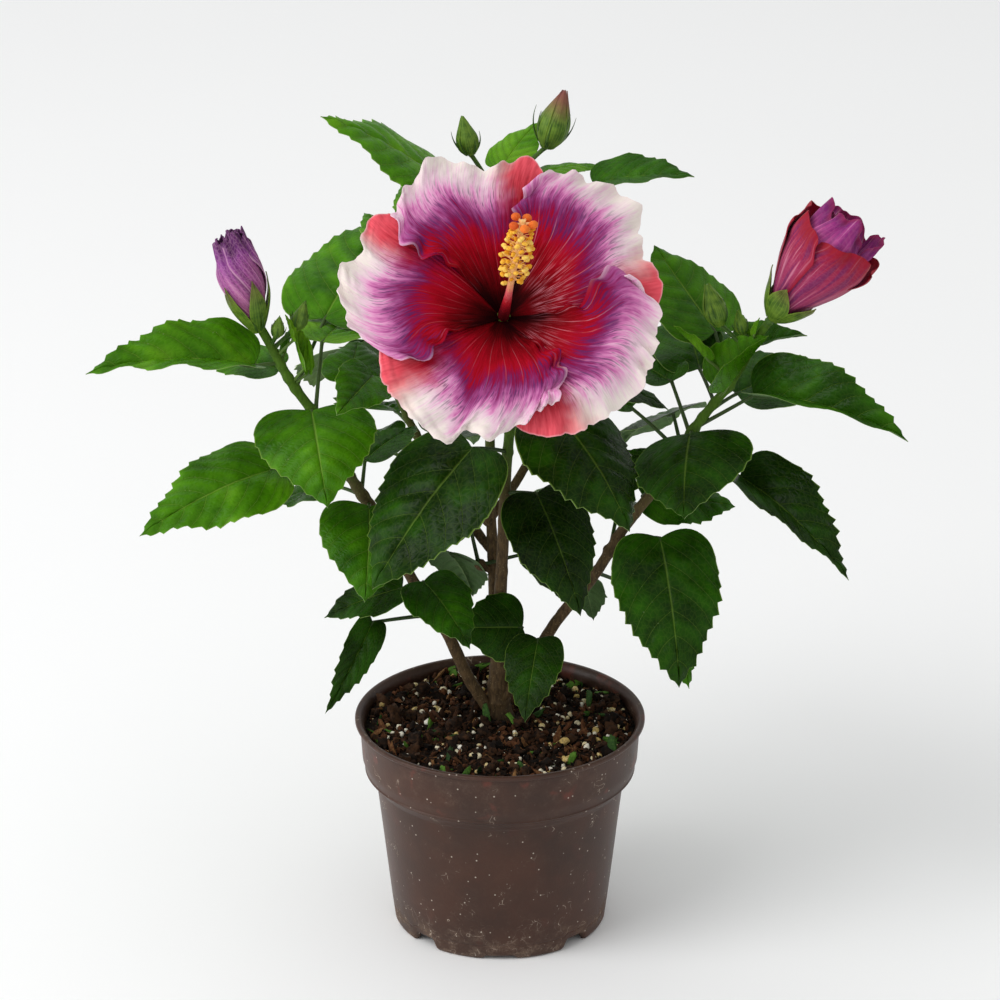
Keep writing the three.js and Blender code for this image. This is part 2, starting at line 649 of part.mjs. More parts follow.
function pot() {
  const { height, wall, rimRadius, lipDrop, footRing, footWidth, footRadius, corner, floorThickness } = POT;
  const floorTop = footRing + floorThickness;
  const lipRound = 0.5;
  const outer = [POT.bodyTop, POT.shoulderHeight, POT.collarBottom, height - lipDrop - 1];
  const inner = [height - lipDrop, POT.collarBottom, POT.shoulderHeight, POT.bodyTop, floorTop];
  const profile = [
    [0, 0], [POT.centreFoot, 0], [POT.centreFoot + 1.5, footRing],
    [footRadius - footWidth - 0.8, footRing], [footRadius - footWidth, 0],
    [footRadius - corner, 0], [footRadius, corner],
    ...outer.map((z) => [wallRadius(z), z]),
    [rimRadius, height - lipDrop], [rimRadius, height - lipRound], [rimRadius - lipRound, height],
    [rimRadius - POT.lipOverhang, height],
    ...inner.map((z) => [wallRadius(z) - wall, z]),
    [0, floorTop],
  ];
  const outline = profile.map(([x, y]) => new THREE.Vector2(x, y));
  let shape = solid(new THREE.LatheGeometry(outline, POT.sides).rotateX(Math.PI / 2));
  // each opening in the foot ring is cut by a block with slanted sides, narrower at its top
  const cutterDepth = 12;
  for (const { count, width, height: tall, firstHeading } of [POT.arches, POT.slots]) {
    for (let i = 0; i < count; i += 1) {
      const heading = rad(firstHeading + i * 360 / count);
      const cutter = new THREE.CylinderGeometry(1, 1.25, 1, 4).rotateY(Math.PI / 4).rotateX(Math.PI / 2)
        .scale(cutterDepth, width * 0.57, 2 * tall).rotateZ(heading)
        .translate(footRadius * Math.cos(heading), footRadius * Math.sin(heading), 0);
      shape = shape.subtract(solid(cutter));
    }
  }
  for (let i = 0; i < POT.drains.count; i += 1) {
    const heading = rad(POT.arches.firstHeading + i * 360 / POT.drains.count);
    const { radius, circle } = POT.drains;
    const hole = new THREE.CylinderGeometry(radius, radius, 4 * floorThickness, 10).rotateX(Math.PI / 2)
      .translate(circle * Math.cos(heading), circle * Math.sin(heading), footRing + floorThickness / 2);
    shape = shape.subtract(solid(hole));
  }
  return mainBody(shape);
}

function soil() {
  const bottom = POT.footRing + POT.floorThickness + GAP;
  const side = [bottom, POT.bodyTop, POT.collarBottom, SOIL.level]
    .map((z) => [wallRadius(z) - POT.wall - SOIL.margin, z]);
  const profile = [[0, bottom], ...side, [0, SOIL.level]].map(([x, y]) => new THREE.Vector2(x, y));
  return solid(new THREE.LatheGeometry(profile, POT.sides).rotateX(Math.PI / 2));
}

// ---- the shrub -------------------------------------------------------------------------------------

const FINISH = {
  potPlastic: { color: 0x4b3d38, roughness: 0.6, metalness: 0 },
  peat: { color: 0x2a1d14, roughness: 0.95, metalness: 0 },
  bark: { color: 0x75604a, roughness: 0.9, metalness: 0 },
  leaf: { color: 0x2c5a1e, roughness: 0.45, metalness: 0 },
  petal: { color: 0xc05a94, roughness: 0.7, metalness: 0 },
  stamen: { color: 0xf0b030, roughness: 0.6, metalness: 0 },
  mauveBud: { color: 0x7d4f86, roughness: 0.6, metalness: 0 },
  crimsonBud: { color: 0xa81a3c, roughness: 0.6, metalness: 0 },
};

const shrub = new THREE.Group();

function place(name, shape, finish) {
  const mesh = new THREE.Mesh(geometryOf(shape), new THREE.MeshStandardMaterial(FINISH[finish]));
  mesh.name = name;
  shrub.add(mesh);
}

place('pot', pot(), 'potPlastic');
place('soil', soil(), 'peat');
place('trunk', trunk(), 'bark');

// The air kept round each piece that others grow from.
function around(limb, mass) {
  return solid(limbTube(LIMBS[limb], LIMBS[limb].start[2] + 0.1, MASSES[mass].stem[0], 7, GAP));
}

const kept = {
  trunk: trunk(GAP),
  bough_left: around('left', 'foliage_left'),
  bough_right: around('right', 'foliage_right'),
  bough_front: around('front', 'foliage_front'),
  bough_rear: around('rear', 'foliage_top'),
};

const boughs = {
  bough_left: ['left', 'foliage_left', ['trunk']],
  bough_right: ['right', 'foliage_right', ['trunk']],
  bough_front: ['front', 'foliage_front', ['trunk']],
  bough_rear: ['rear', 'foliage_top', ['trunk', 'bough_front']],
  bough_back_left: ['backLeft', 'foliage_back_left', ['bough_rear']],
  bough_back_right: ['backRight', 'foliage_back_right', ['bough_rear']],
};
for (const [name, [limb, mass, carriers]] of Object.entries(boughs)) {
  place(name, bough(LIMBS[limb], MASSES[mass].stem[0], carriers.map((carrier) => kept[carrier])), 'bark');
}

const leavesOf = allLeaves();
for (const [name, mass] of Object.entries(MASSES)) {
  place(name, foliage(mass, leavesOf[name]), 'leaf');
}

place('bloom', bloom(), 'petal');
place('bloom_column', stamens(), 'stamen');
place('bud_left', furledBud(BUDS.bud_left), 'mauveBud');
place('bud_right', furledBud(BUDS.bud_right), 'crimsonBud');

export default shrub;
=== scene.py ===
"""A hibiscus shrub in its nursery pot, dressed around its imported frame.

The frame holds the plain solids. Each class below builds one sub-assembly of the plant in fine detail and
dresses it: the pot, the potting mix, the bark of the stems, the leaves on their stalks, the open bloom with
its column, and the buds. Sizes are millimetres and degrees, turned to metres when a mesh is made. +Z is up
and the bloom looks towards -Y. A heading turns left from +X seen from above; a rise is measured from level.
"""

from __future__ import annotations

import itertools
import logging
import math
from collections.abc import Iterator
from dataclasses import dataclass, field
from enum import Enum
from functools import cached_property
from math import cos, pi, radians, sin

import bpy
import mathutils
import numpy as np
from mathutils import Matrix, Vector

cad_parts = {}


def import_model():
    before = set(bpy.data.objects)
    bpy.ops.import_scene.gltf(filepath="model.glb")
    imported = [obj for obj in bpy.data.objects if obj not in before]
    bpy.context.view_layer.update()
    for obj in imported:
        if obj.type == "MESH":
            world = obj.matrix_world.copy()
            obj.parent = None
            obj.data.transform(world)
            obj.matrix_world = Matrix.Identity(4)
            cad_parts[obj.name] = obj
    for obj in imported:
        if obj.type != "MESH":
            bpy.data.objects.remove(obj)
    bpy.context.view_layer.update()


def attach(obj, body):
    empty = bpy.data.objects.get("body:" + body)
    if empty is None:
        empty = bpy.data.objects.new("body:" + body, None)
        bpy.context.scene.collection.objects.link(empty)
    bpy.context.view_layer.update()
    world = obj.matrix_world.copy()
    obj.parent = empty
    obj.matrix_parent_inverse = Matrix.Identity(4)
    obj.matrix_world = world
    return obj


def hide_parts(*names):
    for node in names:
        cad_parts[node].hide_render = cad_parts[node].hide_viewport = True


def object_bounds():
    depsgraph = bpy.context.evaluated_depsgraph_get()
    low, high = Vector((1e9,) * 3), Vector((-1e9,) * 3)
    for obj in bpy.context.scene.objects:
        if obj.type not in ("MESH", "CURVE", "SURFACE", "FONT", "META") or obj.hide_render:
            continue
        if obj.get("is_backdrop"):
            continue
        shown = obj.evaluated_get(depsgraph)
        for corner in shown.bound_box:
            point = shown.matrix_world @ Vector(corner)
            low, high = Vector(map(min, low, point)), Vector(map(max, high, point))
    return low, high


LOG = logging.getLogger("hibiscus")

MM = 0.001            # metres in a millimetre
GAP = 0.3             # air that the solids leave between neighbours, mm
NODE_TURN = 137.5     # turn from one leaf node to the next, degrees
BODY = "root"         # the one body that every piece rides on
CHART = "chart"       # the UV map that finishes are drawn on
BAKE_MAP = "OFBake"   # a UV map with a place of its own for every leaf, petal and limb
TINT = "tint"         # a number from 0 to 1 on every point, read by the finishes

Vec = np.ndarray
Cell = tuple[float, float, float, float]
Piece = bpy.types.Object
Node = bpy.types.Node
Socket = bpy.types.NodeSocket


# ---- numbers and directions ----


def toward(heading: float, rise: float) -> Vec:
    """Give the unit vector of a heading and a rise.

    Args:
        heading: Degrees left from +X.
        rise: Degrees up from level.

    Returns:
        The direction as three numbers.
    """
    turn, lift = radians(heading), radians(rise)
    level = cos(lift)
    return np.array([level * cos(turn), level * sin(turn), sin(lift)])


def unit(n: float) -> float:
    """Give a repeatable number from 0 to 1 for a number."""
    wave = sin(12.9898 * n + 78.233) * 43758.5453
    return wave - math.floor(wave)


def between(low: float, high: float, n: float) -> float:
    """Give a repeatable number between two others."""
    return low + (high - low) * unit(n)


def mix(a: float | Vec, b: float | Vec, share: float | Vec) -> float | Vec:
    """Blend from a to b by a share from 0 to 1."""
    return a + (b - a) * share


def smooth(x: float | Vec, low: float, high: float) -> float | Vec:
    """Rise smoothly from 0 at low to 1 at high."""
    t = np.clip((x - low) / (high - low), 0.0, 1.0)
    return t * t * (3.0 - 2.0 * t)


def hill(x: float | Vec, middle: float, width: float) -> float | Vec:
    """Give a smooth hill, one high over its middle."""
    return np.exp(-(((x - middle) / width) ** 2))


def circle(count: int) -> Vec:
    """Give evenly spaced angles all the way round, in radians."""
    return np.linspace(0, 2 * pi, count, endpoint=False)


def egg(most: float, share: float | Vec, base: float, point: float) -> float | Vec:
    """Give the height of an egg-shaped outline.

    Args:
        most: Its height where it is broadest.
        share: The share of its length, from its base.
        base: How bluntly it starts: the lower, the blunter.
        point: How sharply it ends: the higher, the sharper.

    Returns:
        The height at each share.
    """
    broadest = base / (base + point)
    return most * share**base * (1 - share) ** point / (broadest**base * (1 - broadest) ** point)


def unit_vector(v: Vec) -> Vec:
    """Scale vectors to length one."""
    return v / np.maximum(np.linalg.norm(v, axis=-1, keepdims=True), 1e-9)


def through(values: tuple[float, ...], x: Vec) -> Vec:
    """Draw a smooth curve through evenly spaced values.

    Args:
        values: The heights at even steps from 0 to 1.
        x: Where to read the curve, from 0 to 1.

    Returns:
        The curve's height at each x, by Catmull-Rom splines.
    """
    v = np.array(values, float)
    padded = np.concatenate([[2 * v[0] - v[1]], v, [2 * v[-1] - v[-2]]])
    place = np.clip(x, 0.0, 1.0) * (len(v) - 1)
    i = np.minimum(place.astype(int), len(v) - 2)
    f = place - i
    a, b, c, d = padded[i], padded[i + 1], padded[i + 2], padded[i + 3]
    return b + 0.5 * f * (c - a + f * (2 * a - 5 * b + 4 * c - d + f * (3 * (b - c) + d - a)))


def lattice(cells: Vec, seed: int) -> Vec:
    """Give a repeatable number from 0 to 1 for each whole-number cell."""
    wave = np.sin(cells @ np.array([127.1, 311.7, 74.7]) + seed * 19.19) * 43758.5453
    return wave - np.floor(wave)


def noise(points: Vec, size: float, seed: int = 0) -> Vec:
    """Give smooth noise from -1 to 1.

    Args:
        points: Places, with three numbers in the last axis.
        size: How large one lump is, in the unit of the places.
        seed: Which noise.

    Returns:
        One number for each place.
    """
    q = points / size
    cell = np.floor(q)
    f = q - cell
    f = f * f * (3 - 2 * f)
    total = np.zeros(points.shape[:-1])
    for corner in itertools.product((0.0, 1.0), repeat=3):
        weight = np.prod(np.where(np.array(corner) > 0, f, 1 - f), axis=-1)
        total += weight * lattice(cell + np.array(corner), seed)
    return 2 * total - 1


def layered(points: Vec, size: float, layers: int, seed: int = 0) -> Vec:
    """Give noise made of ever finer and fainter layers, from about -1 to 1.

    Args:
        points: Places, with three numbers in the last axis.
        size: How large the largest lumps are.
        layers: How many layers there are.
        seed: Which noise.

    Returns:
        One number for each place.
    """
    total = np.zeros(points.shape[:-1])
    for layer in range(layers):
        total += noise(points, size / 2**layer, seed + 31 * layer) / 2**layer
    return total / 1.6


# ---- gathering a mesh ----


@dataclass
class Stock:
    """Points and faces gathered for one piece, in mm. Its bake map is shared out evenly to its patches."""

    patches: int = 1
    points: list[Vec] = field(default_factory=list)
    tints: list[Vec] = field(default_factory=list)
    faces: list[Vec] = field(default_factory=list)
    charts: list[Vec] = field(default_factory=list)
    bakes: list[Vec] = field(default_factory=list)
    slots: list[Vec] = field(default_factory=list)
    count: int = 0

    @cached_property
    def cells(self) -> Iterator[Cell]:
        """Share out the bake map, to be taken one by one."""
        return bake_cells(self.patches)

    def add_points(self, points: Vec, tint: float | Vec = 0.0) -> Vec:
        """Store points.

        Args:
            points: An array whose last axis holds x, y and z.
            tint: One number for all, or one for each point.

        Returns:
            Their numbers, in the shape of the array without its last axis.
        """
        shape = points.shape[:-1]
        size = int(np.prod(shape))
        self.points.append(points.reshape(-1, 3))
        self.tints.append(np.broadcast_to(tint, shape).reshape(-1).astype(float))
        numbers = np.arange(self.count, self.count + size).reshape(shape)
        self.count += size
        return numbers

    def add_faces(self, corners: Vec, chart: Vec, cell: Cell, slot: int = 0) -> None:
        """Store faces of one size.

        Args:
            corners: The point numbers of each face.
            chart: The place of each corner on the chart, each from 0 to 1 on the bake map's cell.
            cell: Where this patch lies on the bake map: left, bottom, width, height.
            slot: The material's number.
        """
        left, bottom, width, height = cell
        sides = corners.shape[-1]
        inside = np.clip(chart, 0.0, 1.0)
        baked = np.stack([left + inside[..., 0] * width, bottom + inside[..., 1] * height], -1)
        self.faces.append(corners.reshape(-1, sides))
        self.charts.append(chart.reshape(-1, sides, 2))
        self.bakes.append(baked.reshape(-1, sides, 2))
        self.slots.append(np.full(corners.size // sides, slot))

    def add_grid(self, numbers: Vec, chart: Vec, cell: Cell, slot: int = 0, flip: bool = False) -> None:
        """Store the four-sided faces of a grid of points.

        Args:
            numbers: The point numbers, row by row.
            chart: The chart places of the same grid.
            cell: Where the grid lies on the bake map.
            slot: The material's number.
            flip: Whether the faces look the other way.
        """
        corners = np.stack([numbers[:-1, :-1], numbers[:-1, 1:], numbers[1:, 1:], numbers[1:, :-1]], -1)
        places = np.stack([chart[:-1, :-1], chart[:-1, 1:], chart[1:, 1:], chart[1:, :-1]], -2)
        corners, places = corners.reshape(-1, 4), places.reshape(-1, 4, 2)
        if flip:
            corners, places = corners[:, ::-1], places[:, ::-1]
        self.add_faces(corners, places, cell, slot)

    def add_tube(self, rings: Vec, tint: float | Vec = 0.0, slot: int = 0) -> None:
        """Store a tube closed at both ends.

        Args:
            rings: Points by ring and side.
            tint: One number, or one for each ring.
            slot: The material's number.
        """
        cell = next(self.cells)
        count, sides = rings.shape[:2]
        tints = np.broadcast_to(np.reshape(tint, (-1, 1)), (count, sides))
        numbers = self.add_points(rings, tints)
        looped = np.concatenate([numbers, numbers[:, :1]], 1)
        self.add_grid(looped, chart_of(count, sides + 1), cell, slot)
        for ring, flip in ((0, True), (count - 1, False)):
            hub = self.add_points(rings[ring].mean(0)[None], tints[ring, :1])[0]
            first, second = numbers[ring], np.roll(numbers[ring], -1)
            if flip:
                first, second = second, first
            corners = np.stack([first, second, np.full(sides, hub)], -1)
            place = np.array([0.5, 0.0 if flip else 1.0])
            self.add_faces(corners, np.broadcast_to(place, (sides, 3, 2)), cell, slot)

    def add_rod(self, path: Vec, radii: Vec, sides: int, tint: float = 0.0, slot: int = 0) -> None:
        """Store a round rod along a path."""
        self.add_tube(sweep(path, radii, sides)[0], tint, slot)

    def add_skins(
        self, upper: Vec, lower: Vec, chart: Vec, tint: float = 0.0, slots: tuple[int, int] = (0, 0)
    ) -> None:
        """Store a thin closed body from its two skins.

        Args:
            upper: The points of the skin on the side that the grid faces, by row and column.
            lower: The points of the other skin.
            chart: The chart places of both.
            tint: The number for all points.
            slots: Their material numbers.
        """
        top, under = self.add_points(upper, tint), self.add_points(lower, tint)
        self.add_grid(top, chart, next(self.cells), slots[0])
        cell = next(self.cells)
        self.add_grid(under, chart, cell, slots[1], flip=True)
        a, b, place = border(top), border(under), border(chart)
        corners = np.stack([np.roll(a, -1), a, b, np.roll(b, -1)], -1)
        ahead = np.roll(place, -1, axis=0)
        self.add_faces(corners, np.stack([ahead, place, place, ahead], 1), cell, slots[1])

    def add_balls(self, points: Vec, tints: Vec, template: tuple[Vec, Vec, Vec]) -> None:
        """Store many bodies with the faces of one template.

        Args:
            points: Their points, by body and then by point of the template.
            tints: A number for each body.
            template: The points, the four-sided and the three-sided faces of a unit ball.
        """
        ball_points, quads, fans = template
        numbers = self.add_points(points, tints[:, None])
        turn = np.arctan2(ball_points[:, 1], ball_points[:, 0]) / (2 * pi) % 1.0
        flat = np.stack([turn, 0.5 + 0.5 * ball_points[:, 2]], -1)
        cells = list(itertools.islice(bake_cells(len(points)), len(points)))
        for faces in (quads, fans):
            chart = np.broadcast_to(flat[faces], (len(points), *faces.shape, 2))
            self.add_faces(numbers[:, faces], chart, np.array(cells).T[:, :, None, None])

    def build(self, name: str, *finishes: Finish) -> Piece:
        """Make the object.

        Args:
            name: The piece's name.
            finishes: Its finishes by slot number.

        Returns:
            The new object, linked to the scene.
        """
        mesh = bpy.data.meshes.new(name)
        points = np.concatenate(self.points) * MM
        loops = np.concatenate([block.ravel() for block in self.faces])
        sizes = np.concatenate([np.full(len(block), block.shape[1]) for block in self.faces])
        mesh.vertices.add(len(points))
        mesh.vertices.foreach_set("co", points.astype(np.float32).ravel())
        mesh.loops.add(len(loops))
        mesh.loops.foreach_set("vertex_index", loops.astype(np.int32))
        mesh.polygons.add(len(sizes))
        mesh.polygons.foreach_set("loop_start", (np.cumsum(sizes) - sizes).astype(np.int32))
        mesh.polygons.foreach_set("material_index", np.concatenate(self.slots).astype(np.int32))
        mesh.polygons.foreach_set("use_smooth", np.ones(len(sizes), bool))
        mesh.update(calc_edges=True)
        for layer, blocks in ((CHART, self.charts), (BAKE_MAP, self.bakes)):
            places = np.concatenate([block.reshape(-1, 2) for block in blocks]).astype(np.float32)
            mesh.uv_layers.new(name=layer).uv.foreach_set("vector", places.ravel())
        tint = mesh.attributes.new(TINT, "FLOAT", "POINT")
        tint.data.foreach_set("value", np.concatenate(self.tints).astype(np.float32))
        mesh.validate(clean_customdata=False)
        mesh.set_sharp_from_angle(angle=radians(62))
        for finish in finishes:
            mesh.materials.append(finish.material)
        made = bpy.data.objects.new(name, mesh)
        bpy.context.scene.collection.objects.link(made)
        return made


def border(grid: Vec) -> Vec:
    """Give a grid's outermost points in order round it."""
    return np.concatenate([grid[0, :-1], grid[:-1, -1], grid[-1, :0:-1], grid[:0:-1, 0]])


def ball(rings: int, sides: int) -> tuple[Vec, Vec, Vec]:
    """Give a unit ball.

    Args:
        rings: How many rings of points lie between its poles.
        sides: How many points are in a ring.

    Returns:
        Its points, its four-sided faces and its three-sided faces.
    """
    tilt = np.linspace(-pi / 2, pi / 2, rings + 2)[1:-1, None]
    turn = circle(sides)[None, :]
    body = np.stack([np.cos(tilt) * np.cos(turn), np.cos(tilt) * np.sin(turn),
                     np.sin(tilt) * np.ones_like(turn)], -1)
    points = np.concatenate([body.reshape(-1, 3), [[0, 0, -1.0], [0, 0, 1.0]]])
    numbers = np.arange(rings * sides).reshape(rings, sides)
    ahead = np.roll(numbers, -1, axis=1)
    quads = np.stack([numbers[:-1], ahead[:-1], ahead[1:], numbers[1:]], -1).reshape(-1, 4)
    poles = np.full(sides, rings * sides)
    low = np.stack([ahead[0], numbers[0], poles], -1)
    high = np.stack([numbers[-1], ahead[-1], poles + 1], -1)
    return points, quads, np.concatenate([low, high])


def rotated(points: Vec, spin: Vec) -> Vec:
    """Turn each body by its own quaternion.

    Args:
        points: Points by body.
        spin: A unit quaternion for each body.

    Returns:
        The turned points.
    """
    real, way = spin[:, None, :1], np.broadcast_to(spin[:, None, 1:], points.shape)
    twice = 2 * np.cross(way, points)
    return points + real * twice + np.cross(way, twice)


def bake_cells(count: int, gap: float = 0.01) -> Iterator[Cell]:
    """Share out the bake map as an even grid.

    Args:
        count: How many cells are needed.
        gap: The border left free round each cell, as a share of it.

    Returns:
        The cells one after another, each as left, bottom, width and height.
    """
    columns = max(1, math.ceil(math.sqrt(count)))
    size = 1 / columns
    for index in range(columns * columns):
        left, bottom = index % columns * size, index // columns * size
        yield left + gap * size, bottom + gap * size, size * (1 - 2 * gap), size * (1 - 2 * gap)


def sweep(path: Vec, radii: Vec, sides: int) -> tuple[Vec, Vec]:
    """Carry a circle along a path.

    Args:
        path: The points of the middle line.
        radii: The radius at each point.
        sides: How many points are in a ring.

    Returns:
        The rings of points, and the outward direction at each of them.
    """
    tangents = unit_vector(np.gradient(path, axis=0))
    start = np.array([0.0, 1.0, 0.0]) if abs(tangents[0][0]) > 0.9 else np.array([1.0, 0.0, 0.0])
    across = np.zeros_like(path)
    for i, tangent in enumerate(tangents):
        before = start if i == 0 else across[i - 1]
        across[i] = unit_vector(before - tangent * np.dot(before, tangent))
    other = np.cross(tangents, across)
    turn = circle(sides)
    outward = (
        across[:, None] * np.cos(turn)[None, :, None] + other[:, None] * np.sin(turn)[None, :, None]
    )
    return path[:, None] + outward * np.reshape(radii, (-1, 1, 1)), outward


def bend(a: Vec, b: Vec, c: Vec, count: int) -> Vec:
    """Give points along the curve from a to c that is drawn towards b."""
    t = np.linspace(0, 1, count)[:, None]
    return (1 - t) ** 2 * a + 2 * t * (1 - t) * b + t**2 * c


# ---- how the shrub grows: the rule of the solids ----


@dataclass(frozen=True)
class Limb:
    """A limb whose middle line starts at a point, runs on a heading and leans from upright.

    It leans by the first angle at its foot and by the second at its tip, and sways at each leaf node. Its
    stem ends at the top height.
    """

    start: tuple[float, float, float]
    heading: float
    lean: tuple[float, float]
    length: float
    sway: float
    nodes: int
    radius: tuple[float, float]
    top: float

    @cached_property
    def middle_line(self) -> Vec:
        """Give the middle line as closely spaced points."""
        steps = 120
        points = [np.array(self.start, float)]
        for i in range(steps):
            along = (i + 0.5) / steps
            sway = self.sway * cos(pi * along * self.nodes)
            lean = mix(self.lean[0], self.lean[1], along) + sway
            points.append(points[i] + toward(self.heading, 90 - lean) * self.length / steps)
        return np.array(points)

    def point_at(self, height: float) -> Vec:
        """Give the middle line's point at a height.

        Args:
            height: The height.

        Returns:
            The point.
        """
        line = self.middle_line
        i = max(int(np.argmax(line[:, 2] >= height)), 1)
        share = (height - line[i - 1, 2]) / (line[i, 2] - line[i - 1, 2])
        return mix(line[i - 1], line[i], share)


class LimbName(Enum):
    """The limbs that carry leaves."""

    LEFT = "left"
    RIGHT = "right"
    FRONT = "front"
    REAR = "rear"
    BACK_LEFT = "back_left"
    BACK_RIGHT = "back_right"
    LOW_LEFT = "low_left"
    LOW_RIGHT = "low_right"
    LOW_FRONT = "low_front"
    LOW_REAR = "low_rear"


LIMBS: dict[LimbName, Limb] = {
    LimbName.LEFT: Limb((-8, 8, 117), 192, (26, 30), 262, 5, 8, (3.2, 2.2), 338),
    LimbName.RIGHT: Limb((4, 8, 124), -8, (33, 31), 262, 5, 8, (3.2, 2.0), 334),
    LimbName.FRONT: Limb((-0.5, 9, 124), -70, (1, 12), 176, 3, 5, (3.6, 2.4), 296),
    LimbName.REAR: Limb((-1.6, 12, 146), 102, (16, -16), 262, 4, 8, (3.0, 1.9), 396),
    LimbName.BACK_LEFT: Limb((-3.8, 22.4, 196), 135, (54, 36), 118, 4, 4, (2.4, 1.8), 277),
    LimbName.BACK_RIGHT: Limb((-4.6, 26.1, 214), 48, (56, 38), 120, 4, 4, (2.4, 1.8), 291),
    LimbName.LOW_LEFT: Limb((-30, 3.4, 164), 200, (60, 40), 18, 0, 1, (1.8, 1.4), 173),
    LimbName.LOW_RIGHT: Limb((42.8, 2.5, 184), 60, (70, 60), 18, 0, 1, (1.8, 1.4), 191),
    LimbName.LOW_FRONT: Limb((0, 8, 146), -60, (62, 50), 16, 0, 1, (1.8, 1.4), 153),
    LimbName.LOW_REAR: Limb((-3.4, 20.2, 186), 190, (60, 50), 16, 0, 1, (1.8, 1.4), 191.5),
}


@dataclass(frozen=True)
class LeafPlan:
    """One leaf: the height of its node, its stalk, and how its blade lies.

    A stalk or a blade is a heading, a rise and a length. The blade then rolls about its rib. Its width is a
    share of its length, its rib arches by an angle, and its two halves fold up from the rib.
    """

    height: float
    stalk: tuple[float, float, float]
    blade: tuple[float, float, float]
    roll: float
    width: float
    arch: float
    fold: float
    # tint offset (a young leaf's whole tint): part the leaf's own tone, part painted shade and painted
    # sheen
    shade: float = 0.0

    @cached_property
    def axes(self) -> tuple[Vec, Vec, Vec]:
        """Give the blade's directions along its rib, across it, and out of its upper side."""
        along = toward(self.blade[0], self.blade[1])
        level = unit_vector(np.cross(along, [0.0, 0.0, 1.0]))
        lifted = np.cross(level, along)
        c, s = cos(radians(self.roll)), sin(radians(self.roll))
        return along, level * c + lifted * s, lifted * c - level * s

    def half_width(self, share: float | Vec) -> float | Vec:
        """Give half the blade's width: an egg-shaped outline, broadest a third of the way up.

        Args:
            share: The share of its length from the base.

        Returns:
            Half the width, mm.
        """
        return egg(0.5 * self.width * self.blade[2], share, 0.5, 0.95)

    def rib_at(self, share: Vec) -> tuple[Vec, Vec]:
        """Give how far along and how high the arched rib is at a share of its length.

        Args:
            share: The share of its length from the base.

        Returns:
            How far along, and how high, mm.
        """
        turn, length = radians(self.arch), self.blade[2]
        if abs(turn) < 1e-6:
            return length * share, np.zeros_like(share)
        here = turn * (0.5 - share)
        forward = length / turn * (sin(turn / 2) - np.sin(here))
        return forward, length / turn * (np.cos(here) - cos(turn / 2))

    def stalk_ends(self, limb: Limb) -> tuple[Vec, Vec]:
        """Give where the stalk leaves the limb and where it meets the blade."""
        node = limb.point_at(self.height)
        return node, node + toward(self.stalk[0], self.stalk[1]) * self.stalk[2]


def leaves(*rows: tuple) -> tuple[LeafPlan, ...]:
    """Make leaf plans from rows of their values."""
    return tuple(LeafPlan(*row) for row in rows)


@dataclass(frozen=True)
class GrowthRule:
    """How the seeded rule adds leaves: evenly up the stem, each turned on from the one below."""

    low: float
    high: float
    count: int
    heading: float
    faces: tuple[float, float]
    seed: int

    def leaf(self, k: int) -> LeafPlan:
        """Give the rule's leaf of a number, before it is known whether it has room.

        Args:
            k: Its number, from the lowest.

        Returns:
            The leaf.
        """
        n = self.seed * 100 + k * 10
        heading = self.heading + k * NODE_TURN
        return LeafPlan(
            mix(self.low, self.high, k / (self.count - 1)),
            (heading, between(5, 40, n), between(20, 36, n + 1)),
            (heading + between(-24, 24, n + 2), between(-40, 0, n + 3), between(50, 78, n + 4)),
            between(-18, 18, n + 5),
            between(0.62, 0.85, n + 6),
            between(15, 40, n + 7),
            between(-8, 14, n + 8),
        )


@dataclass(frozen=True)
class GreenBudPlan:
    """A small green bud: the height of its node, its stalk, its size and how red its tip is."""

    height: float
    stalk: tuple[float, float, float]
    size: float
    blush: float = 0.0


@dataclass(frozen=True)
class LeafMass:
    """The leaves of one stretch of a limb."""

    limb: LimbName
    leaves: tuple[LeafPlan, ...] = ()
    rule: GrowthRule | None = None
    buds: tuple[GreenBudPlan, ...] = ()
    # the mass's tint: part the leaves' own tone, part painted shade where shade falls low down and inside
    shade: float = 0.5
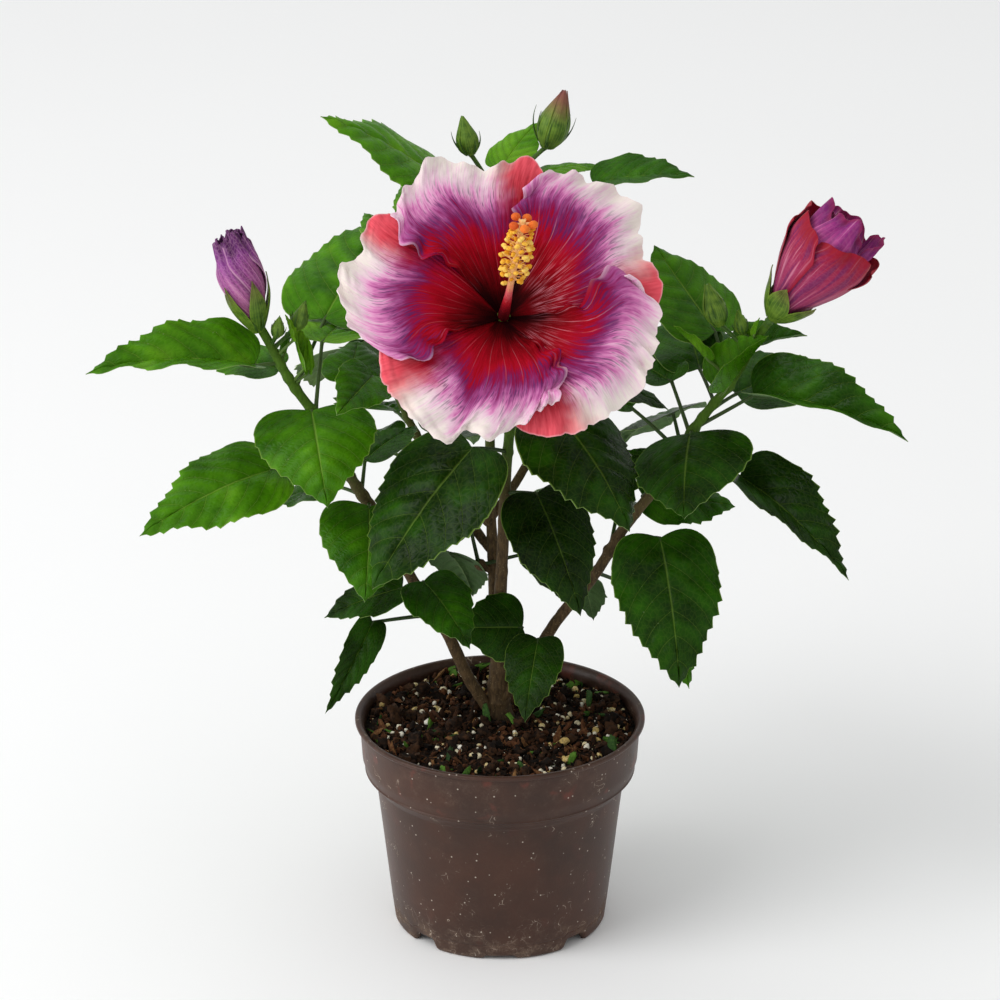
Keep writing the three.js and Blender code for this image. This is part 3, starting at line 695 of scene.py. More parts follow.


# shade values: part the leaves' own tone, part painted shade on low and inner leaves and painted sheen on a
# few
MASSES: dict[str, LeafMass] = {
    "left_low": LeafMass(LimbName.LOW_LEFT, leaves(
        (171, (-155, 54, 21), (178, -24, 44), 28, 0.66, 20, 10),
        (170, (-160, 1, 29), (-130, -46, 54), 50, 0.36, 25, 20),
        (171, (-90, 59, 29), (-50, -32, 46), -10, 0.78, 30, 5),
    ), shade=0.25),
    "left": LeafMass(LimbName.LEFT, leaves(
        (314, (205, 6, 14), (-168, 2, 86), 18, 0.52, 35, 34, 0.08),
        (306, (113, 0, 14), (156, -6, 44), 10, 0.7, 30, 10),
        (288, (-86, 16, 5), (-80, -38, 58), -5, 1.06, 45, -8),
        (270, (-12, 60, 43), (-112, -8, 44), 30, 0.7, 20, 15),
        (262, (75, 54, 40), (88, 10, 38), 0, 0.85, 20, 0),
        (250, (-169, 10, 40), (-150, -16, 79), 24, 0.6, 35, 6, 0.12),
        (238, (130, -2, 22), (150, -26, 52), 20, 0.55, 20, 10),
        (234, (-88, 18, 13), (-92, -42, 54), 12, 0.92, 35, 0),
        (240, (84, 43, 19), (55, 4, 46), 0, 0.6, 20, 5),
        (285, (76, 68, 37), (66, 2, 42), 0, 0.85, 10, 5, 0.3),
        (300, (68, 34, 44), (60, 24, 82), 0, 0.78, 20, 5),
    ), GrowthRule(226, 304, 14, 60, (30, 125), 18), (
        GreenBudPlan(322, (12, 42, 17), 4.6), GreenBudPlan(324, (-50, 55, 9), 3.6),
    ), shade=0.6),
    "right_low": LeafMass(LimbName.LOW_RIGHT, leaves(
        (189, (109, -30, 20), (70, -62, 36), 0, 0.6, 20, 0),
        (189, (40, -30, 28), (38, -38, 44), -35, 0.5, 20, 0),
    ), shade=0.2),
    "right": LeafMass(LimbName.RIGHT, leaves(
        (213, (-32, 14, 26), (-76, -58, 78), 0, 0.72, 30, -6, -0.12),
        (274, (-100, 15, 9), (-94, -34, 52), -18, 1.25, 35, -16),
        (260, (-11, -14, 33), (-40, -29, 80), -10, 0.54, 30, 28, -0.24),
        (248, (114, -38, 31), (16, -14, 52), -35, 0.6, 20, 0),
        (276, (-13, 35, 36), (-20, -9, 84), -22, 0.56, 38, 44),
        (282, (40, 18, 24), (40, 0, 62), -15, 0.75, 20, 0),
        (300, (110, 50, 29), (132, 36, 57), 0, 0.9, 0, 0, 0.2),
        (290, (105, 20, 27), (100, 14, 58), 0, 0.72, 20, 0),
        (272, (123, 55, 29), (130, 12, 32), 10, 0.95, -20, 20),
        (262, (150, 35, 34), (165, 10, 34), 10, 0.6, 20, 10),
        (298, (120, 50, 22), (140, 20, 32), 10, 0.7, -20, 30),
        (300, (60, 55, 18), (10, 10, 36), -10, 0.8, 30, 30),
        (206, (-20, -30, 26), (-60, -50, 60), 0, 0.6, 25, 0),
        (256, (150, 0, 12), (140, -10, 30), 0, 0.9, 25, 0),
    ), GrowthRule(206, 300, 14, 80, (50, 150), 40), (
        GreenBudPlan(318, (168, 45, 22.6), 6.8), GreenBudPlan(322, (160, 50, 9), 3.8),
    ), shade=0.45),
    "front_low": LeafMass(LimbName.LOW_FRONT, leaves(
        (152, (-48, 56, 18), (-165, 4, 38), 48, 1.0, 20, 0),
        (151, (-47, 30, 26), (-102, -45, 46), 0, 0.66, 20, 8),
    ), shade=0.12),
    "front": LeafMass(LimbName.FRONT, leaves(
        (262, (-128, 22, 31), (-140, -44, 88), 10, 0.74, 25, 4),
        (275, (-40, 30, 34), (-50, -37, 75), 0, 0.84, 30, -6),
        (238, (-38, 14, 21), (-60, -50, 68), -8, 0.68, 30, -4, -0.04),
        (276, (-8, 34, 52), (-6, -22, 40), 0, 0.8, 20, 0),
    ), shade=0.22),
    "rear_low": LeafMass(LimbName.LOW_REAR, leaves(
        (190, (180, 25, 17), (60, -55, 42), 0, 0.8, 20, 0),
        (190, (-6, 19, 22), (0, -50, 36), 0, 0.7, 20, 0),
        (191, (140, 72, 19), (170, -40, 30), 0, 0.7, 20, 0),
    ), shade=0.15),
    "top": LeafMass(LimbName.REAR, leaves(
        (388, (-175, 22, 24), (-162, 33, 80), 17, 0.7, 25, 0, -0.12),
        (380, (30, 34, 34), (18, 0, 32), 0, 0.6, 20, 0),
        (390, (-5, 12, 50), (-12, 9, 52), -15, 0.58, 25, 20, -0.34),
        (392, (80, 30, 20), (50, 28, 34), 0, 0.8, 20, 0),
        (388, (90, 20, 16), (55, 5, 34), 0, 0.7, 20, 0),
        (346, (168, 12, 46), (122, 12, 42), 0, 0.7, 20, 0),
        (362, (158, 16, 40), (112, 12, 32), 0, 0.7, 20, 0),
    ), GrowthRule(268, 384, 16, 70, (25, 155), 23), (
        GreenBudPlan(394, (205, 60, 29), 6.3), GreenBudPlan(392, (8, 47, 39), 9.2, 0.8),
    ), shade=0.8),
    "back_left": LeafMass(LimbName.BACK_LEFT, (), GrowthRule(226, 277, 14, 150, (15, 165), 36)),
    "back_right": LeafMass(LimbName.BACK_RIGHT, (), GrowthRule(242, 291, 14, 20, (15, 165), 52)),
}


# leaves still folded along their ribs, near the stems' tips
YOUNG_LEAVES: dict[LimbName, tuple[LeafPlan, ...]] = {
    LimbName.LEFT: leaves(
        (303, (-30, 50, 12), (128, 66, 30), -20, 0.5, -10, 48, 0.85),
        (302, (-12, 42, 11), (100, 80, 19), 10, 0.42, 15, 55, 0.85),
        (318, (-12, 45, 13), (160, 72, 14), 0, 0.34, 10, 50, 0.95),
        (314, (60, 50, 6), (40, 60, 16), 0, 0.4, 10, 45, 0.8),
    ),
    LimbName.RIGHT: leaves(
        (292, (-60, 50, 8), (-4, 55, 38), -14, 1.1, 6, 56, 0.7),
        (302, (178, 46, 16), (166, 42, 25), -30, 0.5, 10, 35, 0.75),
        (320, (140, 60, 6), (120, 60, 15), 0, 0.4, 10, 45, 0.8),
        (324, (-120, 60, 5), (-60, 66, 12), 0, 0.35, 10, 50, 0.85),
    ),
    LimbName.REAR: leaves(
        (392, (-60, 70, 6), (-80, 60, 15), 0, 0.4, 20, 40, 0.9),
        (390, (200, 60, 8), (190, 50, 16), 10, 0.45, 20, 40, 0.9),
    ),
}


@dataclass(frozen=True)
class Room:
    """The room that leaves need: how far a grown leaf keeps from the others, the limbs and the bloom."""

    clearance: float = 0.9
    stalk: float = 2.6
    limb: float = 4.5

    def spots(self, limb: Limb, plan: LeafPlan) -> list[tuple[Vec, float]]:
        """Give spots along a leaf's rib and stalk, each with the breadth it needs.

        Args:
            limb: The limb that carries the leaf.
            plan: The leaf.

        Returns:
            The spots, each a point and a breadth in mm.
        """
        node, base = plan.stalk_ends(limb)
        along, _, normal = plan.axes
        found = []
        for share in (0.2, 0.5, 0.8):
            forward, up = plan.rib_at(np.array(share))
            spot = base + along * forward + normal * up
            found.append((spot, 0.55 * float(plan.half_width(share))))
        return found + [(mix(node, base, share), self.stalk) for share in (0.6, 0.85)]

    def all_leaves(self, throat: Vec, axis: Vec) -> dict[str, list[LeafPlan]]:
        """Give every leaf of every mass.

        Args:
            throat: The bloom's throat.
            axis: The way the bloom looks.

        Returns:
            The leaves by mass. A grown leaf is left out where it would come too near something.
        """
        found = {name: list(mass.leaves) for name, mass in MASSES.items()}
        taken = [spot for mass in MASSES.values() for plan in mass.leaves
                 for spot in self.spots(LIMBS[mass.limb], plan)]
        wood = np.concatenate([limb.middle_line[::6] for limb in LIMBS.values()])
        for name, mass in MASSES.items():
            for k in range(mass.rule.count if mass.rule else 0):
                plan = mass.rule.leaf(k)
                low, high = mass.rule.faces
                if not low <= plan.stalk[0] % 360 <= high:
                    continue
                spots = self.spots(LIMBS[mass.limb], plan)
                if all(self.is_free(spot, reach, taken, wood, throat, axis) for spot, reach in spots):
                    taken += spots
                    found[name].append(plan)
        return found

    def is_free(
        self, spot: Vec, reach: float, taken: list[tuple[Vec, float]], wood: Vec, throat: Vec, axis: Vec
    ) -> bool:
        """Say whether a spot keeps clear of the leaves so far, the limbs and the bloom.

        Args:
            spot: The place to test.
            reach: The breadth it needs.
            taken: The spots of the leaves so far.
            wood: Points along the limbs.
            throat: The bloom's throat.
            axis: The way the bloom looks.

        Returns:
            True where there is room.
        """
        if np.min(np.linalg.norm(wood - spot, axis=1)) <= max(reach, self.limb):
            return False
        if np.dot(spot - throat, axis) >= -reach:
            return False
        return all(np.linalg.norm(spot - other) > self.clearance * (reach + o) for other, o in taken)


# ---- finishes ----

Settings = dict[str | int, object]
Ramp = tuple[tuple[float, str], ...]


def linear(code: str) -> tuple[float, float, float, float]:
    """Turn an sRGB hex colour to linear red, green, blue and alpha.

    Args:
        code: The colour, such as "#88a944".

    Returns:
        Four numbers from 0 to 1.
    """
    parts = [int(code[i : i + 2], 16) / 255 for i in (1, 3, 5)]
    red, green, blue = [c / 12.92 if c <= 0.04045 else ((c + 0.055) / 1.055) ** 2.4 for c in parts]
    return red, green, blue, 1.0


def add_node(tree: bpy.types.NodeTree, kind: str, settings: Settings) -> Node:
    """Add a node with its settings and links.

    Args:
        tree: The material's tree.
        kind: The node's type without its first word.
        settings: Values by property, or by input name or number. A node or a socket given as a value is
            linked, a hex colour is turned to linear, and "stops" fills a colour ramp.

    Returns:
        The new node.
    """
    node = tree.nodes.new("ShaderNode" + kind)
    for key, value in settings.items():
        if key == "stops":
            first, *middle, last = value
            for element, (place, colour) in zip(node.color_ramp.elements, (first, last)):
                element.position, element.color = place, linear(colour)
            for place, colour in middle:
                node.color_ramp.elements.new(place).color = linear(colour)
        elif isinstance(key, str) and key in node.bl_rna.properties:
            setattr(node, key, value)
        elif isinstance(value, Node):
            tree.links.new(value.outputs[0], node.inputs[key])
        elif isinstance(value, Socket):
            tree.links.new(value, node.inputs[key])
        else:
            node.inputs[key].default_value = linear(value) if isinstance(value, str) else value
    return node


Source = Node | Socket | float | str


class Pen:
    """Draws shader nodes in one tree. Each method adds a node and gives it back."""

    def __init__(self, tree: bpy.types.NodeTree) -> None:
        """Take the tree to draw in."""
        self.tree = tree

    def add(self, kind: str, settings: Settings) -> Node:
        """Add a node of any kind with its settings."""
        return add_node(self.tree, kind, settings)

    @cached_property
    def chart(self) -> Node:
        """Read the place on the piece's own chart."""
        return self.add("UVMap", {"uv_map": CHART})

    @cached_property
    def axes(self) -> Node:
        """Split the chart's place."""
        return self.add("SeparateXYZ", {0: self.chart})

    @property
    def across(self) -> Socket:
        """Read how far across the chart a place is."""
        return self.axes.outputs[0]

    @property
    def along(self) -> Socket:
        """Read how far along the chart a place is."""
        return self.axes.outputs[1]

    @cached_property
    def from_middle(self) -> Node:
        """Read how far from the chart's middle line a place is: 0 on the line, 1 at both sides."""
        return self.math("ABSOLUTE", self.fit(self.across, 0.0, 1.0, -1.0, 1.0))

    @cached_property
    def own_stretch(self) -> Node:
        """Move the chart by the tint, so that every petal takes its own stretch of each pattern."""
        moved = self.add("CombineXYZ", {0: self.times(self.tint, 40.0)})
        return self.add("VectorMath", {"operation": "ADD", 0: self.chart, 1: moved})

    @cached_property
    def tint(self) -> Socket:
        """Read the tint."""
        return self.add("Attribute", {"attribute_name": TINT}).outputs["Fac"]

    @cached_property
    def place(self) -> Socket:
        """Read the place in metres."""
        return self.add("TexCoord", {}).outputs["Object"]

    def math(self, operation: str, *values: Source) -> Node:
        """Work out one operation on one, two or three numbers."""
        return self.add("Math", {"operation": operation, **dict(enumerate(values))})

    def times(self, a: Source, b: Source) -> Node:
        """Multiply."""
        return self.math("MULTIPLY", a, b)

    def plus(self, a: Source, b: Source) -> Node:
        """Add."""
        return self.math("ADD", a, b)

    def minus(self, a: Source, b: Source) -> Node:
        """Subtract."""
        return self.math("SUBTRACT", a, b)

    def times_plus(self, a: Source, b: Source, c: Source) -> Node:
        """Multiply the first two and add the third."""
        return self.math("MULTIPLY_ADD", a, b, c)

    def fit(self, x: Source, a: Source, b: Source, low: Source = 0,
            high: Source = 1, **more: str) -> Node:
        """Carry a number from the stretch a to b evenly on to the stretch low to high."""
        return self.add("MapRange", {"Value": x, 1: a, 2: b, 3: low, 4: high, **more})

    def ease(self, x: Source, a: Source, b: Source, low: Source = 0,
             high: Source = 1) -> Node:
        """Carry a number from the stretch a to b on to low to high, slowly at both ends."""
        return self.fit(x, a, b, low, high, interpolation_type="SMOOTHSTEP")

    def blend(self, share: Source, first: Source, second: Source, way: str = "MIX") -> Node:
        """Lay the second colour over the first by a share."""
        return self.add("MixRGB", {"blend_type": way, "Fac": share, "Color1": first, "Color2": second})

    def ramp(self, x: Source, stops: Ramp) -> Node:
        """Turn a number to a colour."""
        return self.add("ValToRGB", {"Fac": x, "stops": stops})

    def stretched(self, place: Source, scale: tuple[float, float, float]) -> Node:
        """Scale a place by its three axes."""
        return self.add("Mapping", {"Vector": place, "Scale": scale})

    def noise(self, place: Source, scale: float, detail: float = 2.0, roughness: float = 0.5,
              distortion: float = 0.0) -> Node:
        """Draw clouds."""
        return self.add("TexNoise", {"Vector": place, "Scale": scale, "Detail": detail,
                                     "Roughness": roughness, "Distortion": distortion})

    def spots(self, place: Source, scale: float) -> Node:
        """Give the distance from the middle of the nearest of many scattered cells."""
        return self.add("TexVoronoi", {"Vector": place, "Scale": scale})

    def net(self, place: Source, scale: float) -> Node:
        """Give the distance from the edges of many scattered cells."""
        return self.add("TexVoronoi", {"feature": "DISTANCE_TO_EDGE", "Vector": place, "Scale": scale})

    def bump(self, height: Source, strength: float, distance: float) -> Node:
        """Raise the surface by a height."""
        return self.add("Bump", {"Height": height, "Strength": strength, "Distance": distance})


@dataclass(frozen=True)
class Finish:
    """A material. Each kind of finish draws its own colour, gloss and relief."""

    name: str

    def shader(self, pen: Pen) -> Settings:
        """Draw the nodes with a pen, and give the settings of the surface shader."""
        raise NotImplementedError

    @cached_property
    def material(self) -> bpy.types.Material:
        """Make the material, once."""
        made = bpy.data.materials.new(self.name)
        made.use_nodes = True
        tree = made.node_tree
        tree.nodes.clear()
        surface = add_node(tree, "BsdfPrincipled", self.shader(Pen(tree)))
        add_node(tree, "OutputMaterial", {"Surface": surface})
        return made


@dataclass(frozen=True)
class VeinPattern:
    """Where a leaf's side veins run: rib to margin, curving towards the tip, steeper near the base."""

    spacing: float = 0.162
    slope: float = 0.42
    curve: float = 1.1
    start: float = 0.012

    def place(self, side: Vec, share: Vec) -> Vec:
        """Give a number that is whole along each side vein."""
        lean = self.slope * np.abs(side) ** self.curve
        return ((share - lean) / (1 - lean) - self.start) / self.spacing


VEINS = VeinPattern()


@dataclass(frozen=True)
class LeafSkin(Finish):
    """A living leaf: a waxy upper side gives broad soft lights, the lower side is paler and dull.

    Veins lie as pale lines, the blade between them is slightly blistered, and the margin is thin and light.
    """

    tones: Ramp
    vein: str
    vein_share: float
    roughness: float
    relief: float
    shine: float

    def shader(self, pen: Pen) -> Settings:
        """Draw the blade's tone by its age, its rib, side veins, net of fine veins and light margin.

        Args:
            pen: What draws in the material's tree.

        Returns:
            The surface shader's settings.
        """
        across = pen.from_middle
        lean = pen.times(pen.math("POWER", across, VEINS.curve), VEINS.slope)
        run = pen.math("DIVIDE", pen.minus(pen.along, lean), pen.minus(1, lean))
        place = pen.times_plus(run, 1 / VEINS.spacing, -VEINS.start / VEINS.spacing)
        cycle = pen.math("PINGPONG", place, 0.5)
        # side veins are about 0.4 mm wide and the rib about 1.2 mm, on a blade of 80 by 50 mm
        veins = pen.ease(cycle, 0.005, 0.03, 0.56, 0)
        lines = pen.math("MAXIMUM", veins, pen.ease(across, 0.004, 0.032, 1, 0))
        # the net's meshes are 2 to 3 mm wide, drawn coarser than the finest real ones so that they show
        net = pen.net(pen.stretched(pen.chart, (19, 28, 1)), 1)
        threads = pen.fit(net, 0, 0.12, 1, 0)
        clouds = pen.noise(pen.place, 55, 3)
        even = pen.plus(pen.times_plus(clouds, 0.8, pen.tint), -0.41)
        flesh = pen.ramp(even, self.tones)
        # painted shade and light: the blade darkens towards each side vein's valley and lightens on the
        # swell between veins
        painted_puff_shade = pen.blend(0.7, flesh, pen.fit(cycle, 0, 0.5, 0.78, 1.12), "MULTIPLY")
        meshed = pen.blend(pen.times(threads, 0.045), painted_puff_shade, self.vein)
        lined = pen.times(lines, pen.fit(even, 0.1, 0.65, 0.42 * self.vein_share, self.vein_share))
        veined = pen.blend(lined, meshed, self.vein)
        colour = pen.blend(pen.ease(across, 0.976, 0.996, 0, 0.5), veined, self.vein)
        # side veins lie sunken and the blade swells between the finer ones
        height = pen.plus(pen.times_plus(net, 0.55, pen.times(lines, -0.55)), clouds)
        bump = pen.bump(height, self.relief, 0.0008)
        gloss = pen.fit(clouds, 0.3, 0.7, self.roughness - 0.06, self.roughness + 0.08)
        return {"Base Color": colour, "Roughness": gloss, "Normal": bump, "IOR": 1.42,
                "Specular IOR Level": self.shine}


@dataclass(frozen=True)
class StemSkin(Finish):
    """Bark by age: corky and brown where it is woody, smooth and green where it is young."""

    ages: Ramp
    roughness: float = 0.75
    grain: float = 1.0

    def shader(self, pen: Pen) -> Settings:
        """Draw long streaks and small corky spots over a colour that follows the stem's age.

        Args:
            pen: What draws in the material's tree.

        Returns:
            The surface shader's settings.
        """
        # bark fissures are about 1 mm wide and 4 mm long
        streaks = pen.noise(pen.stretched(pen.place, (900, 900, 240)), 1, 4, 0.6)
        blotch = pen.noise(pen.place, 160, 3)
        both = pen.times_plus(blotch, 0.5, streaks)
        age = pen.plus(pen.tint, pen.fit(both, 0.45, 1.05, -0.1 * self.grain, 0.1 * self.grain))
        base = pen.ramp(age, self.ages)
        dark = pen.fit(streaks, 0.3, 0.62, 0.5, 1.25)
        woody = pen.fit(pen.tint, 0.3, 0.85, 0.75 * self.grain, 0.1 * self.grain)
        colour = pen.blend(woody, base, dark, "MULTIPLY")
        # corky spots under a millimetre across
        spots = pen.spots(pen.place, 620)
        cork = pen.times(pen.fit(spots, 0.1, 0.22, 0.5, 0), woody)
        spotted = pen.blend(cork, colour, "#a8946e")
        bump = pen.bump(streaks, 0.5 * self.grain, 0.0007)
        return {"Base Color": spotted, "Roughness": self.roughness, "Normal": bump,
                "Specular IOR Level": 0.25}


@dataclass(frozen=True)
class PetalSkin(Finish):
    """A petal's thin velvety skin: colour runs out from the throat in fine rays, with little gloss."""

    rays: Ramp
    coral: str = "#f2626f"
    streak: str = "#5a2058"
    vein: str = "#eea2b2"
    cream: str = "#ecd9dc"

    def shader(self, pen: Pen) -> Settings:
        """Draw the zones from throat to rim, dark rays, pale veins, the hidden edge and the cream patch.

        Args:
            pen: What draws in the material's tree.

        Returns:
            The surface shader's settings.
        """
        across, out = pen.across, pen.along
        here = pen.own_stretch
        # rays are 3 to 5 mm wide at the rim
        rays = pen.noise(pen.stretched(here, (32, 2.2, 1)), 1, 4, 0.62)
        # hair-fine rays about a millimetre wide
        hairs = pen.noise(pen.stretched(here, (110, 8, 1)), 1, 2)
        drift = pen.noise(here, 2, 0)
        clouds = pen.noise(here, 5, 3)
        first = pen.times_plus(pen.minus(rays, 0.5), pen.fit(out, 0.05, 0.6, 0.04, 0.34), out)
        second = pen.times_plus(pen.minus(hairs, 0.5), 0.30, first)
        # the over edge keeps its purple to the rim; the middle turns to cream sooner
        over = pen.ease(across, 0.62, 0.98, 0, -0.14)
        middle = pen.ease(across, 0.2, 0.5, 0.07, 0)
        cloudy = pen.minus(clouds, 0.5)
        zone = pen.times_plus(cloudy, 0.24, pen.plus(pen.plus(second, over), middle))
        base = pen.ramp(zone, self.rays)
        # dark rays where the purple is deepest
        belt = pen.times(pen.ease(out, 0.42, 0.58, 0, 1), pen.ease(out, 0.7, 0.96, 1, 0))
        rayed = pen.blend(pen.times(belt, pen.ease(hairs, 0.5, 0.64, 0, 0.8)), base, self.streak)
        # about nine pale main veins fan out from the throat
        tooth = pen.math("PINGPONG", pen.times(pen.times_plus(drift, 0.06, across), 9), 0.5)
        line = pen.ease(tooth, 0.004, 0.042, 0.5, 0)
        reach = pen.times(pen.ease(out, 0.14, 0.3, 0, 1), pen.ease(out, 0.5, 0.78, 1, 0))
        broken = pen.ease(clouds, 0.36, 0.6, 0.1, 1)
        # the two petals on the right are veined more plainly, and brushed with white towards the throat
        plain = pen.math("COMPARE", pen.tint, 0.4, 0.15)
        drawn = pen.times(reach, pen.times(broken, pen.times_plus(plain, 0.6, 0.28)))
        veined = pen.blend(pen.times(line, drawn), rayed, self.vein)
        hair = pen.ease(hairs, 0.5, 0.66, 0, 0.6)
        early = pen.ease(out, 0.12, 0.24)
        late = pen.ease(out, 0.28, 0.52, 1, 0)
        lower = pen.ease(across, 0.35, 0.75, 1, 0.15)
        brush = pen.times(pen.times(early, late), pen.times(lower, plain))
        veined = pen.blend(pen.times(brush, hair), veined, self.vein)
        # the edge that was folded under in the bud stays coral
        folded = pen.ease(pen.times_plus(cloudy, 0.18, across), 0.2, 0.4, 1, 0)
        blush = pen.times(folded, pen.ease(out, 0.4, 0.68, 0, 1))
        coral = pen.blend(pen.fit(second, 0.66, 1.08, 0, 1), "#a00a20", self.coral)
        flushed = pen.blend(blush, veined, coral)
        # the rim is pale, and so is the last millimetre of the over edge
        rim = pen.ease(out, 0.985, 1, 0, 0.35)
        lips = pen.times(pen.ease(across, 0.98, 0.998, 0, 0.3), pen.ease(out, 0.6, 0.8, 0, 1))
        colour = pen.blend(pen.math("MAXIMUM", rim, lips), flushed, self.cream)
        bump = pen.bump(pen.times_plus(rays, 0.8, hairs), 0.5, 0.0006)
        return {"Base Color": colour, "Roughness": 0.6, "Normal": bump, "IOR": 1.35,
                "Specular IOR Level": 0.08}


@dataclass(frozen=True)
class BudSkin(Finish):
    """A furled petal: dull and finely crossed by veins, flushed along its edge."""

    zones: Ramp
    edge: str
    ray: str
    ray_share: float = 0.5
    edge_from: float = 0.85
    pale: str = "#d9a3b4"
    pale_share: float = 0.35
    net_share: float = 0.06
    lip_share: float = 1.0

    def shader(self, pen: Pen) -> Settings:
        """Draw zones from foot to mouth, fanning rays, a fine net and the flushed outer edge.

        Args:
            pen: What draws in the material's tree.

        Returns:
            The surface shader's settings.
        """
        here = pen.own_stretch
        rays = pen.noise(pen.stretched(here, (22, 1.2, 1)), 1, 3, distortion=0.4)
        clouds = pen.noise(here, 4, 4)
        lean = pen.minus(clouds, 0.5)
        base = pen.ramp(pen.times_plus(lean, 0.5, pen.along), self.zones)
        dark = pen.blend(pen.ease(rays, 0.46, 0.62, 0, self.ray_share), base, self.ray)
        rayed = pen.blend(pen.ease(rays, 0.3, 0.44, self.pale_share, 0), dark, self.pale)
        # the net's meshes are about 2.5 mm wide
        net = pen.net(pen.stretched(here, (16, 22, 1)), 1)
        netted = pen.blend(pen.fit(net, 0, 0.14, self.net_share, 0), rayed, self.pale)
        farthest = pen.math("MAXIMUM", pen.from_middle, pen.times(pen.along, self.lip_share))
        rim = pen.ease(pen.times_plus(lean, 0.16, farthest), self.edge_from, 1, 0, 0.85)
        colour = pen.blend(rim, netted, self.edge)
        bump = pen.bump(pen.times_plus(net, -0.12, rays), 0.55, 0.0006)
        return {"Base Color": colour, "Roughness": 0.55, "Normal": bump, "IOR": 1.38,
                "Specular IOR Level": 0.25, "Sheen Weight": 0.05}


@dataclass(frozen=True)
class GreenSkin(Finish):
    """A sepal or a bract: dull green with ribs that run from foot to tip, lighter at the edges."""

    dark: str
    light: str
    tip: str

    def shader(self, pen: Pen) -> Settings:
        """Draw lengthwise ribs, a lighter edge, and a tip that takes on colour with the tint.

        Args:
            pen: What draws in the material's tree.

        Returns:
            The surface shader's settings.
        """
        clouds = pen.noise(pen.place, 240, 3)
        ribs = pen.math("PINGPONG", pen.times(pen.across, 7), 0.5)
        line = pen.ease(ribs, 0, 0.16, 0.5, 0)
        base = pen.blend(pen.fit(clouds, 0.3, 0.7, 0, 0.7), self.dark, self.light)
        ribbed = pen.blend(line, base, self.light)
        edged = pen.blend(pen.ease(pen.from_middle, 0.8, 1, 0, 0.6), ribbed, self.light)
        flush = pen.times(pen.ease(pen.along, 0.45, 0.95, 0, 1), pen.tint)
        colour = pen.blend(flush, edged, self.tip)
        bump = pen.bump(ribs, 0.5, 0.0004)
        return {"Base Color": colour, "Roughness": 0.5, "Normal": bump, "Specular IOR Level": 0.25}


@dataclass(frozen=True)
class Speckled(Finish):
    """A small living or mineral grain: its tone runs over a ramp by its tint, with fine mottling."""

    tones: Ramp
    roughness: float
    mottling: float = 0.3
    lumps: float = 900.0

    def shader(self, pen: Pen) -> Settings:
        """Draw a tone by tint, mottled over each grain, with small pits.

        Args:
            pen: What draws in the material's tree.

        Returns:
            The surface shader's settings.
        """
        mottle = pen.noise(pen.place, self.lumps, 3)
        lean = pen.fit(mottle, 0.3, 0.7, -0.5 * self.mottling, 0.5 * self.mottling)
        colour = pen.ramp(pen.plus(pen.tint, lean), self.tones)
        bump = pen.bump(mottle, 0.6, 0.0005)
        return {"Base Color": colour, "Roughness": self.roughness, "Normal": bump,
                "Specular IOR Level": 0.2}


@dataclass(frozen=True)
class PotPlastic(Finish):
    """Recycled polypropylene, injection moulded: satin brown, dusty at the foot, specked and scratched."""

    brown: str = "#38251d"
    warm: str = "#482c20"
    dust: str = "#94806f"
    rust: str = "#7c3a2e"

    def shader(self, pen: Pen) -> Settings:
        """Draw soft clouds in the plastic, dust low down and under the lip, specks and scratches.

        Args:
            pen: What draws in the material's tree.

        Returns:
            The surface shader's settings.
        """
        height = pen.add("SeparateXYZ", {0: pen.place}).outputs[2]
        # clouds 20 to 40 mm across, as the plastic flowed into the mould
        flow = pen.noise(pen.place, 28, 4)
        base = pen.blend(pen.fit(flow, 0.35, 0.65, 0, 0.8), self.brown, self.warm)
        # dust: grains under a millimetre, drawn in patches, thick at the foot
        grit = pen.noise(pen.place, 900, 3)
        patch = pen.noise(pen.place, 90, 4, 0.7)
        low = pen.ease(height, 0, 0.022, 0.2, 0)
        film = pen.plus(pen.plus(low, pen.ease(height, 0.07, 0.108, 0, 0.03)), 0.012)
        torn = pen.ease(patch, 0.42, 0.66, 0.25, 2.2)
        dusted = pen.times(pen.times(film, torn), pen.fit(grit, 0.35, 0.7, 0.4, 1.5))
        faded = pen.blend(dusted, base, self.dust)
        # rusty smudges 10 mm across on the collar
        smudge = pen.noise(pen.place, 75, 5)
        rusty = pen.ease(smudge, 0.6, 0.72, 0, 0.4)
        stain = pen.times(rusty, pen.ease(height, 0.082, 0.095, 0.15, 1))
        stained = pen.blend(stain, faded, self.rust)
        # pale specks a millimetre across, one in a 5 mm cell at most
        specks = pen.spots(pen.place, 210)
        rare = pen.math("GREATER_THAN", pen.add("SeparateXYZ", {0: specks.outputs["Color"]}), 0.15)
        dots = pen.times(pen.ease(specks, 0.045, 0.115, 0.65, 0), rare)
        dotted = pen.blend(dots, stained, "#d8ccbc")
        # short scratches, half a millimetre wide
        warp = pen.noise(pen.place, 60, 2)
        bent = pen.blend(0.05, pen.place, warp.outputs["Color"])
        hair = pen.net(bent, 95)
        thin = pen.fit(hair, 0, 0.02, 1, 0)
        where = pen.ease(patch, 0.57, 0.66, 0, 0.7)
        foot = pen.ease(height, 0.004, 0.03, 0.5, 0)
        nicks = pen.times(thin, pen.times_plus(foot, pen.ease(patch, 0.44, 0.6, 0, 1), where))
        colour = pen.blend(nicks, dotted, "#c9b8a6")
        gloss = pen.fit(dusted, 0, 0.3, 0.38, 0.85)
        bump = pen.bump(pen.times_plus(patch, 0.6, grit), 0.12, 0.0004)
        return {"Base Color": colour, "Roughness": gloss, "Normal": bump, "IOR": 1.49,
                "Specular IOR Level": 0.28}


